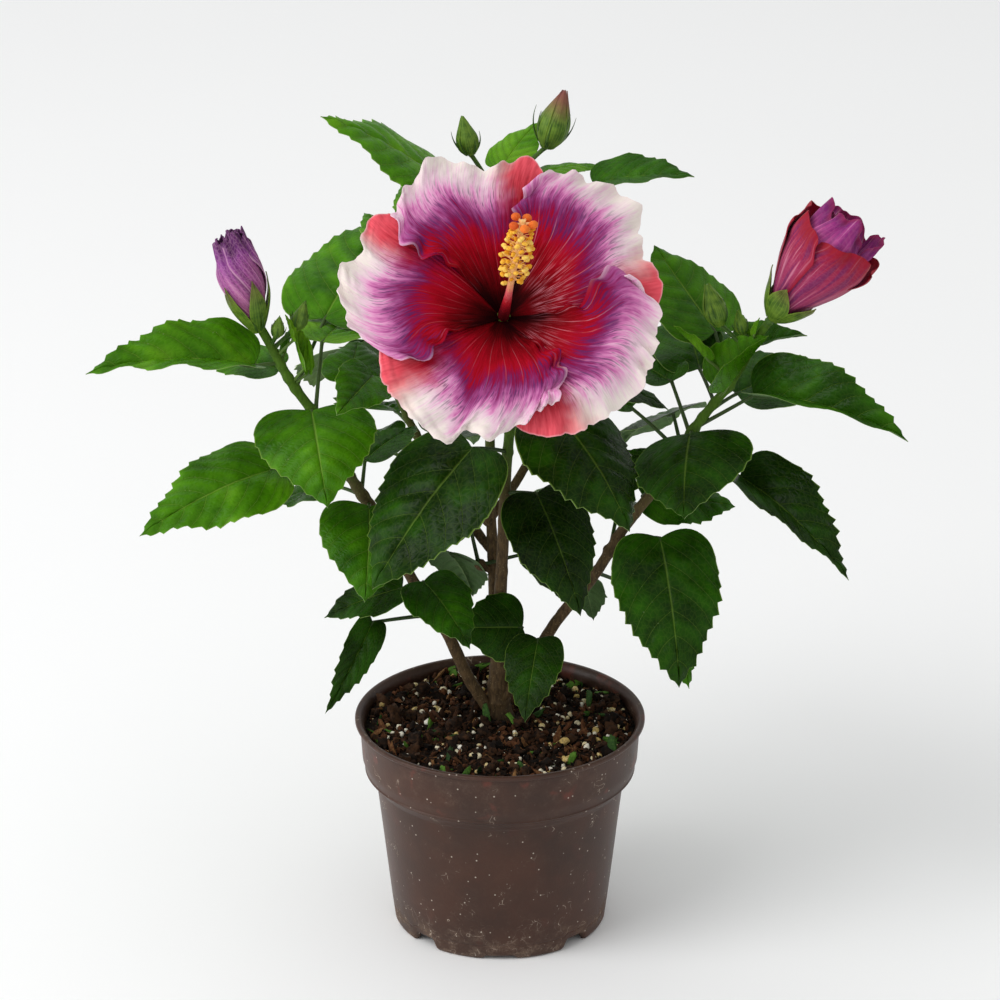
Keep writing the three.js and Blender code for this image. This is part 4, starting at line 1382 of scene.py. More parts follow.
@dataclass(frozen=True)
class PlainFloor(Finish):
    """Matt white paint, rolled: an even floor with the faintest grain."""

    colour: str = "#fafafa"

    def shader(self, pen: Pen) -> Settings:
        """Draw the paint's faint grain.

        Args:
            pen: What draws in the material's tree.

        Returns:
            The surface shader's settings.
        """
        grain = pen.noise(pen.place, 3)
        colour = pen.blend(1, self.colour, pen.fit(grain, 0, 1, 0.985, 1), "MULTIPLY")
        return {"Base Color": colour, "Roughness": 0.95}


UPPER_SKIN = LeafSkin(
    "leaf_upper_skin",
    ((0, "#0a1903"), (0.25, "#153004"), (0.5, "#275504"), (0.75, "#447b08"), (1, "#6da31c")),
    "#88a944", 0.42, 0.3, 0.75, 0.11,
)
LOWER_SKIN = LeafSkin(
    "leaf_lower_skin",
    ((0, "#38502e"), (0.5, "#567345"), (1, "#8ba85c")),
    "#a3bb7a", 0.6, 0.62, 0.5, 0.1,
)
BARK = StemSkin(
    "hibiscus_bark",
    ((0, "#332617"), (0.25, "#57442b"), (0.5, "#4c4522"), (0.75, "#3a5412"), (1, "#4e7612")),
)
STALK_SKIN = StemSkin(
    "leaf_stalk_skin", ((0, "#26341a"), (0.5, "#384f22"), (1, "#5c7a34")), roughness=0.5, grain=0.35,
)
PETAL_SKIN = PetalSkin(
    "petal_velvet",
    (
        (0, "#1c0002"), (0.1, "#360103"), (0.2, "#660109"), (0.3, "#820210"), (0.42, "#a2051c"),
        (0.48, "#9e0a2a"), (0.54, "#880f42"), (0.6, "#86285e"), (0.66, "#a04a84"), (0.725, "#c872a8"),
        (0.785, "#dd9cc2"), (0.85, "#e0bccd"), (0.93, "#e4d0d2"), (1, "#e6dbd3"),
    ),
)
MAUVE_BUD_SKIN = BudSkin(
    "mauve_bud_petal",
    ((0, "#8c3c60"), (0.3, "#a45a86"), (0.6, "#a05090"), (0.82, "#8a3e8c"), (0.95, "#561f5c")),
    "#c490b0", "#5c2458", 0.6, 0.92, "#dba7c2", 0.5, 0.2, 0.85,
)
CRIMSON_BUD_SKIN = BudSkin(
    "crimson_bud_petal",
    ((0, "#96345c"), (0.3, "#9c3460"), (0.6, "#a22c54"), (0.85, "#981a3c"), (1, "#8e1026")),
    "#980a20", "#5e1c58", 0.62, 0.78, "#e29ab4", 0.45, 0.05,
)
RUFFLE_SKIN = BudSkin(
    "ruffled_bud_petal",
    ((0, "#8a2650"), (0.45, "#bc5490"), (0.72, "#b84a8c"), (0.88, "#8e2672"), (1, "#5c1450")),
    "#8a1c50", "#6a2066", 0.5, 0.92, "#eab0ca", 0.45, 0.05,
)
SEPAL_SKIN = GreenSkin("sepal_skin", "#2f540f", "#7a9a32", "#8a3a48")
BRACT_SKIN = GreenSkin("bract_skin", "#24440f", "#55792a", "#4c6c28")
POT_PLASTIC = PotPlastic("moulded_polypropylene")
PEAT = Speckled("peat", ((0, "#0a0604"), (0.5, "#1e130b"), (1, "#3c2616")), 0.95, 0.8, 420)
CRUMBS = Speckled("bark_and_peat_crumbs", ((0, "#0b0704"), (0.4, "#301d10"), (0.8, "#5a3620"),
                                           (1, "#7c5a35")), 0.9)
PERLITE = Speckled("perlite", ((0, "#8b7a55"), (0.25, "#c9ab63"), (0.5, "#ddd0ab"), (1, "#f3eee2")), 0.8)
LEAF_LITTER = Speckled("moss_and_leaf_bits", ((0, "#10210c"), (0.5, "#2a4a17"), (1, "#5f8a2c")), 0.7)
COLUMN_SKIN = Speckled("staminal_column", ((0, "#5a0712"), (0.3, "#b81828"), (0.6, "#e2646a"),
                                           (1, "#f4c57e")), 0.5, 0.15)
POLLEN = Speckled("pollen", ((0, "#d98a14"), (0.5, "#f0b030"), (1, "#f6d268")), 0.75, 0.5, 1500)
STIGMA_SKIN = Speckled("stigma_velvet", ((0, "#c9481a"), (1, "#ee7a2c")), 0.7, 0.4, 1500)


def settle(piece: Piece, slot: str, *nodes: str) -> None:
    """Let a piece ride on the body and stand for its solids.

    Args:
        piece: The piece.
        slot: The record's material slot; not used.
        nodes: The solids that it stands for.
    """
    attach(piece, BODY)
    if nodes:
        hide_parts(*nodes)
    LOG.info("%s: %d faces", piece.name, len(piece.data.polygons))


# ---- trunk and stems ----


@dataclass
class Wood:
    """The trunk and the stems, from inside what carries them to their tips."""

    trunk_foot: tuple[float, float] = (-0.5, 10.0)
    trunk_head: tuple[float, float] = (-0.3, 9.2)
    trunk_top: float = 152.0
    trunk_radius: tuple[float, float] = (5.7, 5.0)
    flare: float = 1.9
    flare_fade: float = 4.0
    scars: tuple[float, ...] = (118.0, 126.5, 136.0, 144.0)
    soil_level: float = 107.5
    root: float = 5.0
    ring_step: float = 1.1
    sides: int = 26
    woody_below: float = 205.0
    green_above: float = 285.0

    def relief(self, rings: Vec, outward: Vec, rough: float | Vec, seed: int) -> Vec:
        """Raise bark fissures and knobs from smooth rings.

        Args:
            rings: The smooth points.
            outward: The way out at each of them.
            rough: How far the bark stands up, mm.
            seed: Which pattern.

        Returns:
            The barky points.
        """
        fissures = layered(rings / np.array([1.0, 1.0, 3.2]), 2.2, 3, seed)
        knobs = noise(rings, 6.0, seed + 7)
        height = fissures * 0.55 + np.maximum(knobs - 0.25, 0) * 1.1
        return rings + outward * (np.reshape(rough, (-1, 1)) * height)[..., None]

    def trunk(self) -> Piece:
        """Make the trunk, flared at the soil and knobbly with old leaf scars.

        Returns:
            The piece.
        """
        heights = np.arange(self.soil_level - 4, self.trunk_top + 0.5, self.ring_step)
        share = (heights - self.soil_level) / (self.trunk_top - self.soil_level)
        path = np.stack([
            mix(self.trunk_foot[0], self.trunk_head[0], share) + 0.5 * np.sin(heights / 7),
            mix(self.trunk_foot[1], self.trunk_head[1], share) + 0.4 * np.cos(heights / 9),
            heights,
        ], -1)
        radii = mix(self.trunk_radius[0], self.trunk_radius[1], share)
        radii = radii + self.flare * np.exp(-np.maximum(heights - self.soil_level, 0) / self.flare_fade)
        for scar in self.scars:
            radii = radii + 0.55 * hill(heights, scar, 1.3)
        rings, outward = sweep(path, radii, 2 * self.sides)
        turn = circle(2 * self.sides)
        ribs = 1 + 0.05 * np.sin(3 * turn + 0.5)[None, :] * (1 - 0.5 * np.clip(share, 0, 1))[:, None]
        rings = path[:, None] + (rings - path[:, None]) * ribs[..., None]
        rings = self.relief(rings, outward, np.full(len(path), 0.75), 3)
        stock = Stock()
        stock.add_tube(rings, 0.14 + 0.1 * np.clip(share, 0, 1))
        return stock.build("trunk_bark", BARK)

    def stem(self, name: LimbName, nodes: list[float]) -> Piece:
        """Make one stem.

        Args:
            name: Which limb.
            nodes: The heights of its leaf nodes.

        Returns:
            The stem, swollen at each node.
        """
        limb = LIMBS[name]
        line = limb.middle_line
        heights = np.arange(line[0, 2], limb.top + 0.3, self.ring_step)
        path = np.stack([np.interp(heights, line[:, 2], line[:, axis]) for axis in range(3)], -1)
        start = path[0] + unit_vector(line[0] - line[1]) * self.root
        roots = mix(start, path[0], np.linspace(0, 1, 5)[:-1, None])
        share = (heights - line[0, 2]) / (line[-1, 2] - line[0, 2])
        radii = mix(limb.radius[0], limb.radius[1], share)
        for node in nodes:
            radii = radii + 0.5 * hill(heights, node, 1.7)
        path = np.concatenate([roots, path])
        radii = np.concatenate([np.full(len(roots), limb.radius[0]), radii])
        age = smooth(path[:, 2], self.woody_below, self.green_above)
        rings, outward = sweep(path, radii, self.sides)
        seed = 11 * (1 + list(LimbName).index(name))
        rings = self.relief(rings, outward, 0.42 * (1 - age) + 0.02, seed)
        stock = Stock()
        stock.add_tube(rings, 0.2 + 0.66 * age)
        return stock.build(f"stem_{name.value}", BARK)


# ---- leaves ----


@dataclass(frozen=True)
class Blade:
    """One leaf's blade as a fine closed mesh: toothed, veined, blistered and gently waved."""

    plan: LeafPlan
    base: Vec
    number: int
    tooth_pitch: float = 5.9
    tooth_depth: float = 0.0225
    toothed: tuple[float, float] = (0.17, 0.955)
    thickness: float = 0.45
    blister: float = 0.019
    wave: float = 0.017

    def outline(self, share: Vec) -> Vec:
        """Give half the blade's width: egg-shaped, drawn out to a sharp tip.

        Args:
            share: The share of its length from the base.

        Returns:
            Half the width, mm.
        """
        half = 0.5 * self.plan.width * self.plan.blade[2]
        return egg(half, share, 0.47, between(1.08, 1.32, 300 + self.number))

    @cached_property
    def teeth(self) -> int:
        """Give how many teeth each margin has."""
        return max(5, round(0.78 * self.plan.blade[2] / self.tooth_pitch))

    @cached_property
    def shares(self) -> Vec:
        """Give where the rows lie along the rib: close together at both ends and at each tooth's edge."""
        low, high = self.toothed
        steps = np.array([0.0, 0.25, 0.5, 0.72, 0.86])
        zone = (np.arange(self.teeth)[:, None] + steps[None, :]).ravel() / self.teeth
        foot = np.array([0.0015, 0.005, 0.011, 0.02, 0.033, 0.05, 0.072, 0.098, 0.13, 0.155])
        tip = np.array([0.955, 0.966, 0.976, 0.985, 0.993, 0.9985])
        return np.concatenate([foot[foot < low - 0.008], low + (high - low) * zone, tip])

    @cached_property
    def sides(self) -> Vec:
        """Give where the columns lie from margin to margin: close together at the rib and margins."""
        half = np.array([0.035, 0.1, 0.2, 0.32, 0.44, 0.56, 0.67, 0.77, 0.86, 0.93, 0.975, 1.0])
        return np.concatenate([-half[::-1], [0.0], half])

    def tooth(self, share: Vec) -> Vec:
        """Give how far a tooth stands out: a slow rise towards the tip, then a quick fall.

        Args:
            share: The share of its length from the base.

        Returns:
            Shares of the tooth's depth.
        """
        low, high = self.toothed
        place = (np.clip(share, low, high - 1e-6) - low) / (high - low) * self.teeth
        whole = np.floor(place)
        phase = place - whole
        profile = np.where(phase < 0.72, (phase / 0.72) ** 1.25, (1 - phase) / 0.28)
        uneven = 0.72 + 0.5 * np.sin(2.4 * whole + self.number) ** 2
        return profile * uneven * smooth(share, low, 0.46) * (1 - 0.75 * smooth(share, 0.84, 0.99))

    def skins(self) -> tuple[Vec, Vec, Vec]:
        """Give the upper skin, the lower skin and their chart.

        Returns:
            The points by row and column, once for each side, and their chart.
        """
        plan, n = self.plan, 700 + 17 * self.number
        along, across, normal = plan.axes
        length = plan.blade[2]
        side, share = np.meshgrid(self.sides, self.shares)
        away = np.abs(side)
        depth = self.tooth_depth * length * between(0.75, 1.2, n)
        tooth = depth * self.tooth(share) * away**6
        half = self.outline(share) + tooth
        forward, up = plan.rib_at(share)
        lobe = -0.34 * self.outline(share) / plan.width * (1 - share) ** 4 * away
        fold = radians(plan.fold)
        soft = 0.12
        rise = (np.sqrt(away**2 + soft**2) - soft) / (math.sqrt(1 + soft**2) - soft)
        ends = smooth(share, 0.03, 0.22) * (1 - smooth(share, 0.88, 1.0))
        phase = np.where(side < 0, between(0, 1, n + 1), between(0, 1, n + 2))
        waves = np.sin(2 * pi * (share * between(2.2, 3.4, n + 3) + phase))
        wave = self.wave * length * between(0.6, 1.5, n + 4) * waves * away**2 * ends
        curl = half * between(-0.02, 0.16, n + 5) * away**2.4
        place = VEINS.place(side, share)
        pillow = np.abs(np.sin(pi * place)) ** 0.9
        puff = self.blister * length * pillow * (1 - away**3) * ends * smooth(away, 0.0, 0.12)
        spots = np.stack([side * half, share * length, np.full_like(side, 9.0 * self.number)], -1)
        crumple = 0.0045 * length * layered(spots, 9.0, 3, self.number) * ends
        twist = radians(between(-9, 9, n + 6)) * share
        bow = 0.03 * length * between(-1, 1, n + 7) * share**2
        flat = side * half * cos(fold) * np.cos(twist)
        height = up + half * sin(fold) * rise - curl + wave + puff + crumple
        height = height + side * half * np.sin(twist)
        middle = (
            self.base
            + across * (flat + bow)[..., None]
            + along * (forward + lobe + 0.55 * tooth)[..., None]
            + normal * height[..., None]
        )
        thick = self.thickness * (1 - 0.55 * away**2)
        groove = 0.40 * hill(side * half, 0, 0.9) * (1 - share)
        rib = (1.15 - 0.95 * share) * hill(side * half, 0, 0.95)
        cords = 0.24 * (1 - pillow) * (1 - away) * ends
        upper = middle + normal * (0.5 * thick - groove)[..., None]
        lower = middle - normal * (0.5 * thick + rib + cords)[..., None]
        return upper, lower, np.stack([0.5 + 0.5 * side, share], -1)


@dataclass
class Foliage:
    """All the leaves, each on its stalk, gathered by mass."""

    throat: Vec
    axis: Vec
    stalk_radius: float = 1.1
    leaves: dict[str, list[LeafPlan]] = field(default_factory=dict)

    def __post_init__(self) -> None:
        """Let the rule grow the leaves."""
        self.leaves = Room().all_leaves(self.throat, self.axis)

    def nodes_of(self, name: LimbName) -> list[float]:
        """Give the heights of a limb's leaf nodes."""
        return [
            plan.height for mass, plans in self.leaves.items() for plan in plans
            if MASSES[mass].limb is name
        ]

    def tone(self, mass: LeafMass, plan: LeafPlan, number: int) -> float:
        """Give a leaf's tone with painted shade: darkest low down and inside, brightest where it is young.

        Args:
            mass: The mass it grows in.
            plan: The leaf.
            number: Its number, for its own shade.

        Returns:
            The tint, from 0 to 1.
        """
        top = LIMBS[mass.limb].top
        young = smooth(plan.height, top - 40, top)
        tone = mass.shade + plan.shade + 0.12 * young + between(-0.1, 0.1, 90 + number)
        return float(np.clip(tone, 0.03, 0.97))

    def mass(self, name: str, first: int) -> Piece:
        """Make the blades of one mass.

        Args:
            name: The mass.
            first: The number of its first leaf.

        Returns:
            The piece.
        """
        mass, plans = MASSES[name], self.leaves[name]
        stock = Stock(2 * len(plans))
        for k, plan in enumerate(plans):
            _, base = plan.stalk_ends(LIMBS[mass.limb])
            tone = self.tone(mass, plan, first + k)
            stock.add_skins(*Blade(plan, base, first + k).skins(), tone, (0, 1))
        return stock.build(f"leaves_{name}", UPPER_SKIN, LOWER_SKIN)

    def stalk(self, limb: Limb, plan: LeafPlan, number: int, slender: float) -> Vec:
        """Give one stalk's rings: a little arched, thicker at both ends, and run on under the rib.

        Args:
            limb: The limb that carries the leaf.
            plan: The leaf.
            number: Its number, for its own sag.
            slender: Its thickness as a share of a grown leaf's stalk.

        Returns:
            Points by ring and side.
        """
        node, base = plan.stalk_ends(limb)
        along, _, normal = plan.axes
        below = normal * 0.7 * slender
        forward, up = plan.rib_at(np.array(0.12))
        end = base + along * float(forward) + normal * float(up) - below
        sag = 0.06 * plan.stalk[2] * between(-0.3, 1.0, 400 + number)
        knee = mix(node, base, 0.5) + np.array([0, 0, sag])
        rise = bend(node, knee, base - below, 15)[:-1]
        run = bend(base - below, base + along * 0.06 * plan.blade[2] - below, end, 5)
        path = np.concatenate([rise, run])
        t = np.linspace(0, 1, len(path))
        swell = 1 + 0.35 * hill(t, 0, 0.07) + 0.18 * hill(t, 0.8, 0.06)
        radii = self.stalk_radius * slender * (1 - 0.25 * t) * swell * np.where(t > 0.9, 0.8, 1.0)
        return sweep(path, radii, 10)[0]

    def stalks(self) -> Piece:
        """Make all the grown leaves' stalks.

        Returns:
            The piece.
        """
        stock = Stock(sum(len(plans) for plans in self.leaves.values()))
        for name, plans in self.leaves.items():
            mass = MASSES[name]
            for k, plan in enumerate(plans):
                # stalks take their mass's tint, so the low and inner ones carry the same painted shade
                stock.add_tube(self.stalk(LIMBS[mass.limb], plan, k, 1.0), 0.15 + 0.7 * mass.shade)
        return stock.build("leaf_stalks", STALK_SKIN)

    def young(self) -> Piece:
        """Make the young leaves, folded and bright, each on its short stalk.

        Returns:
            The piece.
        """
        found = [(LIMBS[name], plan) for name, plans in YOUNG_LEAVES.items() for plan in plans]
        stock = Stock(3 * len(found))
        for k, (limb, plan) in enumerate(found):
            _, base = plan.stalk_ends(limb)
            stock.add_skins(*Blade(plan, base, 500 + k, thickness=0.36).skins(), plan.shade)
            stock.add_tube(self.stalk(limb, plan, k, 0.8), 0.9, 1)
        return stock.build("young_leaves", UPPER_SKIN, STALK_SKIN)

    def dress(self) -> None:
        """Make every piece and settle it."""
        first = 0
        for name, plans in self.leaves.items():
            settle(self.mass(name, first), "leaf", f"foliage_{name}")
            first += len(plans)
        settle(self.stalks(), "leaf")
        settle(self.young(), "leaf")


# ---- furled parts: sepals, bracts and buds ----


@dataclass(frozen=True)
class Whorl:
    """Sheets that wrap round an axis: sepals round a cup, or petals round a bud."""

    foot: Vec
    axis: Vec
    count: int
    turn: float

    @cached_property
    def sidesways(self) -> tuple[Vec, Vec]:
        """Give two directions across the axis."""
        helper = np.array([0.0, 0.0, 1.0]) if abs(self.axis[2]) < 0.9 else np.array([0.0, 1.0, 0.0])
        first = unit_vector(np.cross(helper, self.axis))
        return first, np.cross(self.axis, first)

    def sheet(self, k: int, half: Vec, radius: Vec, along: Vec, twist: float | Vec = 0.0) -> Vec:
        """Give the middle surface of one sheet.

        Args:
            k: Which sheet.
            half: Half its angular width at each row, degrees.
            radius: Its distance from the axis by row and column.
            along: Its distance along the axis by row and column.
            twist: How far each row is turned, degrees.

        Returns:
            Points by row and column; the columns run leftwards seen from outside and above.
        """
        rows, columns = radius.shape
        side = np.linspace(-1, 1, columns)[None, :]
        turned = np.reshape(np.broadcast_to(twist, rows), (-1, 1))
        angle = np.radians(self.turn + 360 * k / self.count + turned + side * np.reshape(half, (-1, 1)))
        first, second = self.sidesways
        return (
            self.foot
            + self.axis * along[..., None]
            + first * (radius * np.cos(angle))[..., None]
            + second * (radius * np.sin(angle))[..., None]
        )


def skins_of(middle: Vec, thickness: float | Vec) -> tuple[Vec, Vec]:
    """Thicken a middle surface into two skins.

    Args:
        middle: Points by row and column.
        thickness: In mm, for all or for each point.

    Returns:
        The skin on the side that the grid faces, and the other.
    """
    normal = unit_vector(np.cross(np.gradient(middle, axis=1), np.gradient(middle, axis=0)))
    offset = normal * (0.5 * np.broadcast_to(thickness, middle.shape[:2]))[..., None]
    return middle + offset, middle - offset


def chart_of(rows: int, columns: int) -> Vec:
    """Give an even chart for a grid: across, then along."""
    across, along = np.meshgrid(np.linspace(0, 1, columns), np.linspace(0, 1, rows))
    return np.stack([across, along], -1)


@dataclass(frozen=True)
class Cup:
    """A calyx: five sepals joined at the foot, with a ring of narrow bracts below."""

    foot: Vec
    axis: Vec
    length: float
    radius: tuple[float, ...]
    lobes: float = 0.45
    bracts: int = 8
    bract_length: float = 12.0
    bract_spread: float = 5.0
    flush: float = 0.0
    turn: float = 0.0
    seed: int = 1
    splay: float = 1.6
    blunt: float = 1.0
    mesh: tuple[int, int] = (30, 17)

    def sepals(self, stock: Stock) -> None:
        """Store the five sepals in slot 0.

        Args:
            stock: Where they are stored.
        """
        rows, columns = self.mesh
        whorl = Whorl(self.foot, self.axis, 5, self.turn)
        v = np.linspace(0, 1, rows)
        taper = np.maximum(1 - (v - self.lobes) / (1 - self.lobes), 0.03) ** self.blunt
        half = 38.5 * np.where(v < self.lobes, 1.0, taper)
        half = half * (1 + 0.12 * np.sin(np.clip((v - self.lobes) / (1 - self.lobes), 0, 1) * pi))
        side = np.linspace(-1, 1, columns)[None, :]
        for k in range(5):
            n = self.seed * 50 + k
            reach = self.length * between(0.92, 1.06, n)
            along = reach * v[:, None] * np.ones_like(side)
            radius = through(self.radius, v)[:, None] * np.ones_like(side)
            keel = 0.35 * hill(side, 0, 0.2) * (1 - v[:, None] * 0.6)
            lift = 0.3 * side * (1 - v[:, None])
            flare = between(0.0, self.splay, n + 7) * smooth(v, 0.75, 1.0)[:, None]
            middle = whorl.sheet(k, half, radius + keel + lift + flare, along)
            upper, lower = skins_of(middle, 0.5 * (1 - 0.6 * np.abs(side)) * np.ones((rows, 1)))
            stock.add_skins(upper, lower, chart_of(rows, columns), self.flush)

    def ring_of_bracts(self, stock: Stock) -> None:
        """Store the narrow bracts in slot 1: thin blades that curve out and then up.

        Args:
            stock: Where they are stored.
        """
        whorl = Whorl(self.foot, self.axis, max(self.bracts, 1), self.turn + 20)
        first, second = whorl.sidesways
        for k in range(self.bracts):
            n = self.seed * 90 + 7 * k
            angle = radians(whorl.turn + 360 * k / self.bracts + between(-14, 14, n))
            out = first * cos(angle) + second * sin(angle)
            reach = self.bract_length * between(0.75, 1.15, n + 1)
            spread = self.bract_spread * between(0.6, 1.3, n + 2)
            start = self.foot + out * self.radius[0] * 0.8 + self.axis * 0.5
            knee = start + out * spread * 1.1 + self.axis * reach * 0.35
            tip = start + out * spread + self.axis * reach
            path = bend(start, knee, tip, 12)
            t = np.linspace(0, 1, 12)
            rings, _ = sweep(path, (0.75 - 0.66 * t) * (1 - 0.3 * hill(t, 0, 0.1)), 7)
            middle = path[:, None]
            wide = np.cross(unit_vector(np.gradient(path, axis=0)), out)[:, None]
            offset = rings - middle
            rings = rings + wide * np.sum(offset * wide, -1, keepdims=True) * 0.7
            stock.add_tube(rings, 0.2, 1)

    def add_to(self, stock: Stock) -> None:
        """Store sepals and bracts."""
        self.sepals(stock)
        self.ring_of_bracts(stock)


@dataclass
class GreenBuds:
    """The small green buds near the stems' tips. The outlines are radii as shares of a bud's size."""

    sepal_outline: tuple[float, ...] = (0.32, 0.7, 0.84, 0.8, 0.6, 0.36, 0.12)
    core_outline: tuple[float, ...] = (0.3, 0.6, 0.76, 0.72, 0.55, 0.36, 0.1)

    def piece(self) -> Piece:
        """Make them all as one piece: stalk, closed sepals and bracts.

        Returns:
            The piece.
        """
        plans = [(LIMBS[m.limb], bud) for m in MASSES.values() for bud in m.buds]
        stock = Stock(24 * len(plans))
        for number, (limb, plan) in enumerate(plans):
            axis = toward(plan.stalk[0], plan.stalk[1])
            foot = limb.point_at(plan.height)
            end = foot + axis * plan.stalk[2]
            upright = unit_vector(mix(axis, np.array([0.0, 0.0, 1.0]), 0.6))
            size = plan.size
            lip = end - upright * 0.4 * size
            path = bend(foot, mix(foot, end, 0.75), lip + upright * 0.4, 14)
            t = np.linspace(0, 1, 14)
            stock.add_rod(path, 1.15 + 0.4 * hill(t, 0, 0.1) + 0.35 * smooth(t, 0.8, 1), 12, 0.0, 1)
            profile = tuple(r * size for r in self.sepal_outline)
            cup = Cup(lip, upright, 3.2 * size, profile, 0.45, 8, 1.9 * size, 0.75 * size,
                      plan.blush, 13.0 * number, 20 + number, splay=0.1, blunt=0.55, mesh=(22, 13))
            cup.add_to(stock)
            core = lip + upright * np.linspace(0.1, 3.3, 12)[:, None] * size
            inner = through(self.core_outline, np.linspace(0, 1, 12)) * size
            stock.add_rod(core, inner, 12, plan.blush)
        return stock.build("green_buds", SEPAL_SKIN, BRACT_SKIN)


@dataclass(frozen=True)
class Fold:
    """One petal of a furled bud.

    It is given by its heading round the axis, half its width and its twist in degrees, its length and its
    radius as shares of the bud's, and how far its mouth leans out in mm.
    """

    heading: float
    half: float
    twist: float
    tall: float = 1.0
    scale: float = 1.0
    flare: float = 0.0


@dataclass
class FurledBud:
    """A coloured bud in its cup: petals wound round each other, their tips ruffled."""

    name: str
    limb: LimbName
    heading: float
    rise: float
    length: float
    radius: float
    profile: tuple[float, ...]
    outer: tuple[Fold, ...]
    inner: tuple[Fold, ...]
    ruffle: float
    cup_length: float
    cup_radius: tuple[float, ...]
    skin: BudSkin
    inner_skin: BudSkin
    neck: float = 5.0
    hand: float = 1.0
    lobes: float = 0.3
    lapping: float = 1.0
    bract_reach: float = 13.0
    peeping: bool = False
    pad_radius: float = 1.9
    pad_reach: float = 62.0
    seed: int = 1

    @cached_property
    def foot(self) -> Vec:
        """Give where the stem hands over to the bud's stalk."""
        return LIMBS[self.limb].point_at(LIMBS[self.limb].top)

    @cached_property
    def axis(self) -> Vec:
        """Give the way the bud points."""
        return toward(self.heading, self.rise)

    def petal(self, fold: Fold, number: int) -> Vec:
        """Give the middle surface of one petal.

        Args:
            fold: The petal.
            number: Its number, for its own unevenness.

        Returns:
            Points by row, foot to mouth, and column, hidden edge to outer edge.
        """
        rows, columns = 50, 40
        n = self.seed * 300 + 20 * number
        whorl = Whorl(self.foot + self.axis * (self.neck + 2.0), self.axis, 1, fold.heading)
        v = np.linspace(0.0, 1, rows)
        side = np.linspace(-1, 1, columns)[None, :]
        top = smooth(v, 0.6, 1.0)[:, None]
        half = fold.half * (0.5 + 0.5 * np.minimum(1, v / 0.35) ** 0.7)
        half = half * (1 - 0.22 * smooth(v, 0.75, 1.0))
        spots = np.stack([side * 9 + 0 * v[:, None], 0 * side + 14 * v[:, None],
                          np.full((rows, columns), 5.0 * n)], -1)
        frill = layered(spots, 4.5, 2, n)
        rim = 1 - 0.13 * np.abs(side) ** 2.2 + 0.022 * np.sin(7 * side + n) + 0.03 * frill
        tall = self.length * fold.tall
        along = tall * v[:, None] * mix(np.ones_like(side), rim, smooth(v, 0.35, 1.0)[:, None])
        share = np.clip(v * fold.tall, 0, 1)
        body = through(self.profile, share)[:, None] * self.radius * fold.scale
        proud = self.lapping * (0.3 + 0.75 * side) * (0.25 + 0.75 * smooth(v, 0.1, 0.5))[:, None]
        proud = proud + 1.6 * self.lapping * np.maximum(side - 0.75, 0) * smooth(v, 0.3, 0.8)[:, None]
        waves = 0.6 * np.sin(side * 8 + 1.7 * n) + 0.35 * np.sin(side * 17 + n) + 1.1 * frill
        ruffled = self.ruffle * waves * top**1.3
        crease = 0.16 * np.sin(side * 22 + 0.8 * n) * smooth(v, 0.08, 0.3)[:, None]
        lean = fold.flare * smooth(v, 0.55, 1.0)[:, None] ** 1.5
        radius = np.maximum(body + proud + ruffled + crease + lean, 0.5)
        down = 0.35 * np.maximum(lean, 0)
        return whorl.sheet(0, self.hand * half, radius, along + 0.35 * ruffled - down, fold.twist * v)

    def petals(self, folds: tuple[Fold, ...], skin: BudSkin, label: str) -> Piece:
        """Make some of the petals as one piece.

        Args:
            folds: The petals.
            skin: Their finish.
            label: The end of the piece's name.

        Returns:
            The piece.
        """
        stock = Stock(2 * len(folds))
        for number, fold in enumerate(folds):
            middle = self.petal(fold, number + 10 * len(label))
            rows, columns = middle.shape[:2]
            side = np.linspace(-1, 1, columns)[None, :]
            upper, lower = skins_of(middle, 0.55 * (1 - 0.5 * np.abs(side)) * np.ones((rows, 1)))
            own = unit(self.seed * 9 + number)
            stock.add_skins(upper, lower, chart_of(rows, columns), own)
        return stock.build(f"{self.name}_{label}", skin)

    def cup(self) -> Piece:
        """Make the calyx, the bracts and the stalk.

        Returns:
            The piece.
        """
        stock = Stock(30)
        lip = self.foot + self.axis * self.neck
        Cup(lip, self.axis, self.cup_length, self.cup_radius, self.lobes, 8, self.bract_reach, 5.5, 0.25,
            10.0, 60 + self.seed).add_to(stock)
        path = bend(self.foot - self.axis * 1.5, self.foot + self.axis * 2, lip + self.axis * 1.5, 12)
        t = np.linspace(0, 1, 12)
        stock.add_rod(path, 2.0 + 0.5 * hill(t, 0.45, 0.12) + 1.2 * smooth(t, 0.7, 1), 16, 0.0, 1)
        return stock.build(f"{self.name}_cup", SEPAL_SKIN, BRACT_SKIN)

    def pads(self) -> Piece:
        """Make the first stigma pads that peep out between the ruffles.

        Returns:
            The piece.
        """
        points, quads, fans = ball(12, 18)
        upward = np.cross(self.axis, [0.0, 1.0, 0.0])
        middle = self.foot + self.axis * self.pad_reach - upward * 2.5 + np.array([0.0, -3.5, 0.0])
        shifts = np.array([(0, 0, 0), (2.2, 1.0, -1.8), (-1, 2.2, 1.2)])
        stock = Stock()
        stock.add_balls((middle + shifts)[:, None] + self.pad_radius * points, np.array([0.8, 0.3, 0.5]),
                        (points, quads, fans))
        return stock.build(f"{self.name}_pads", STIGMA_SKIN)

    def dress(self) -> None:
        """Make the pieces and settle them."""
        settle(self.petals(self.outer, self.skin, "petals"), "bud", self.name)
        settle(self.petals(self.inner, self.inner_skin, "ruffles"), "bud")
        settle(self.cup(), "leaf")
        if self.peeping:
            settle(self.pads(), "stamen")


# ---- the open bloom ----


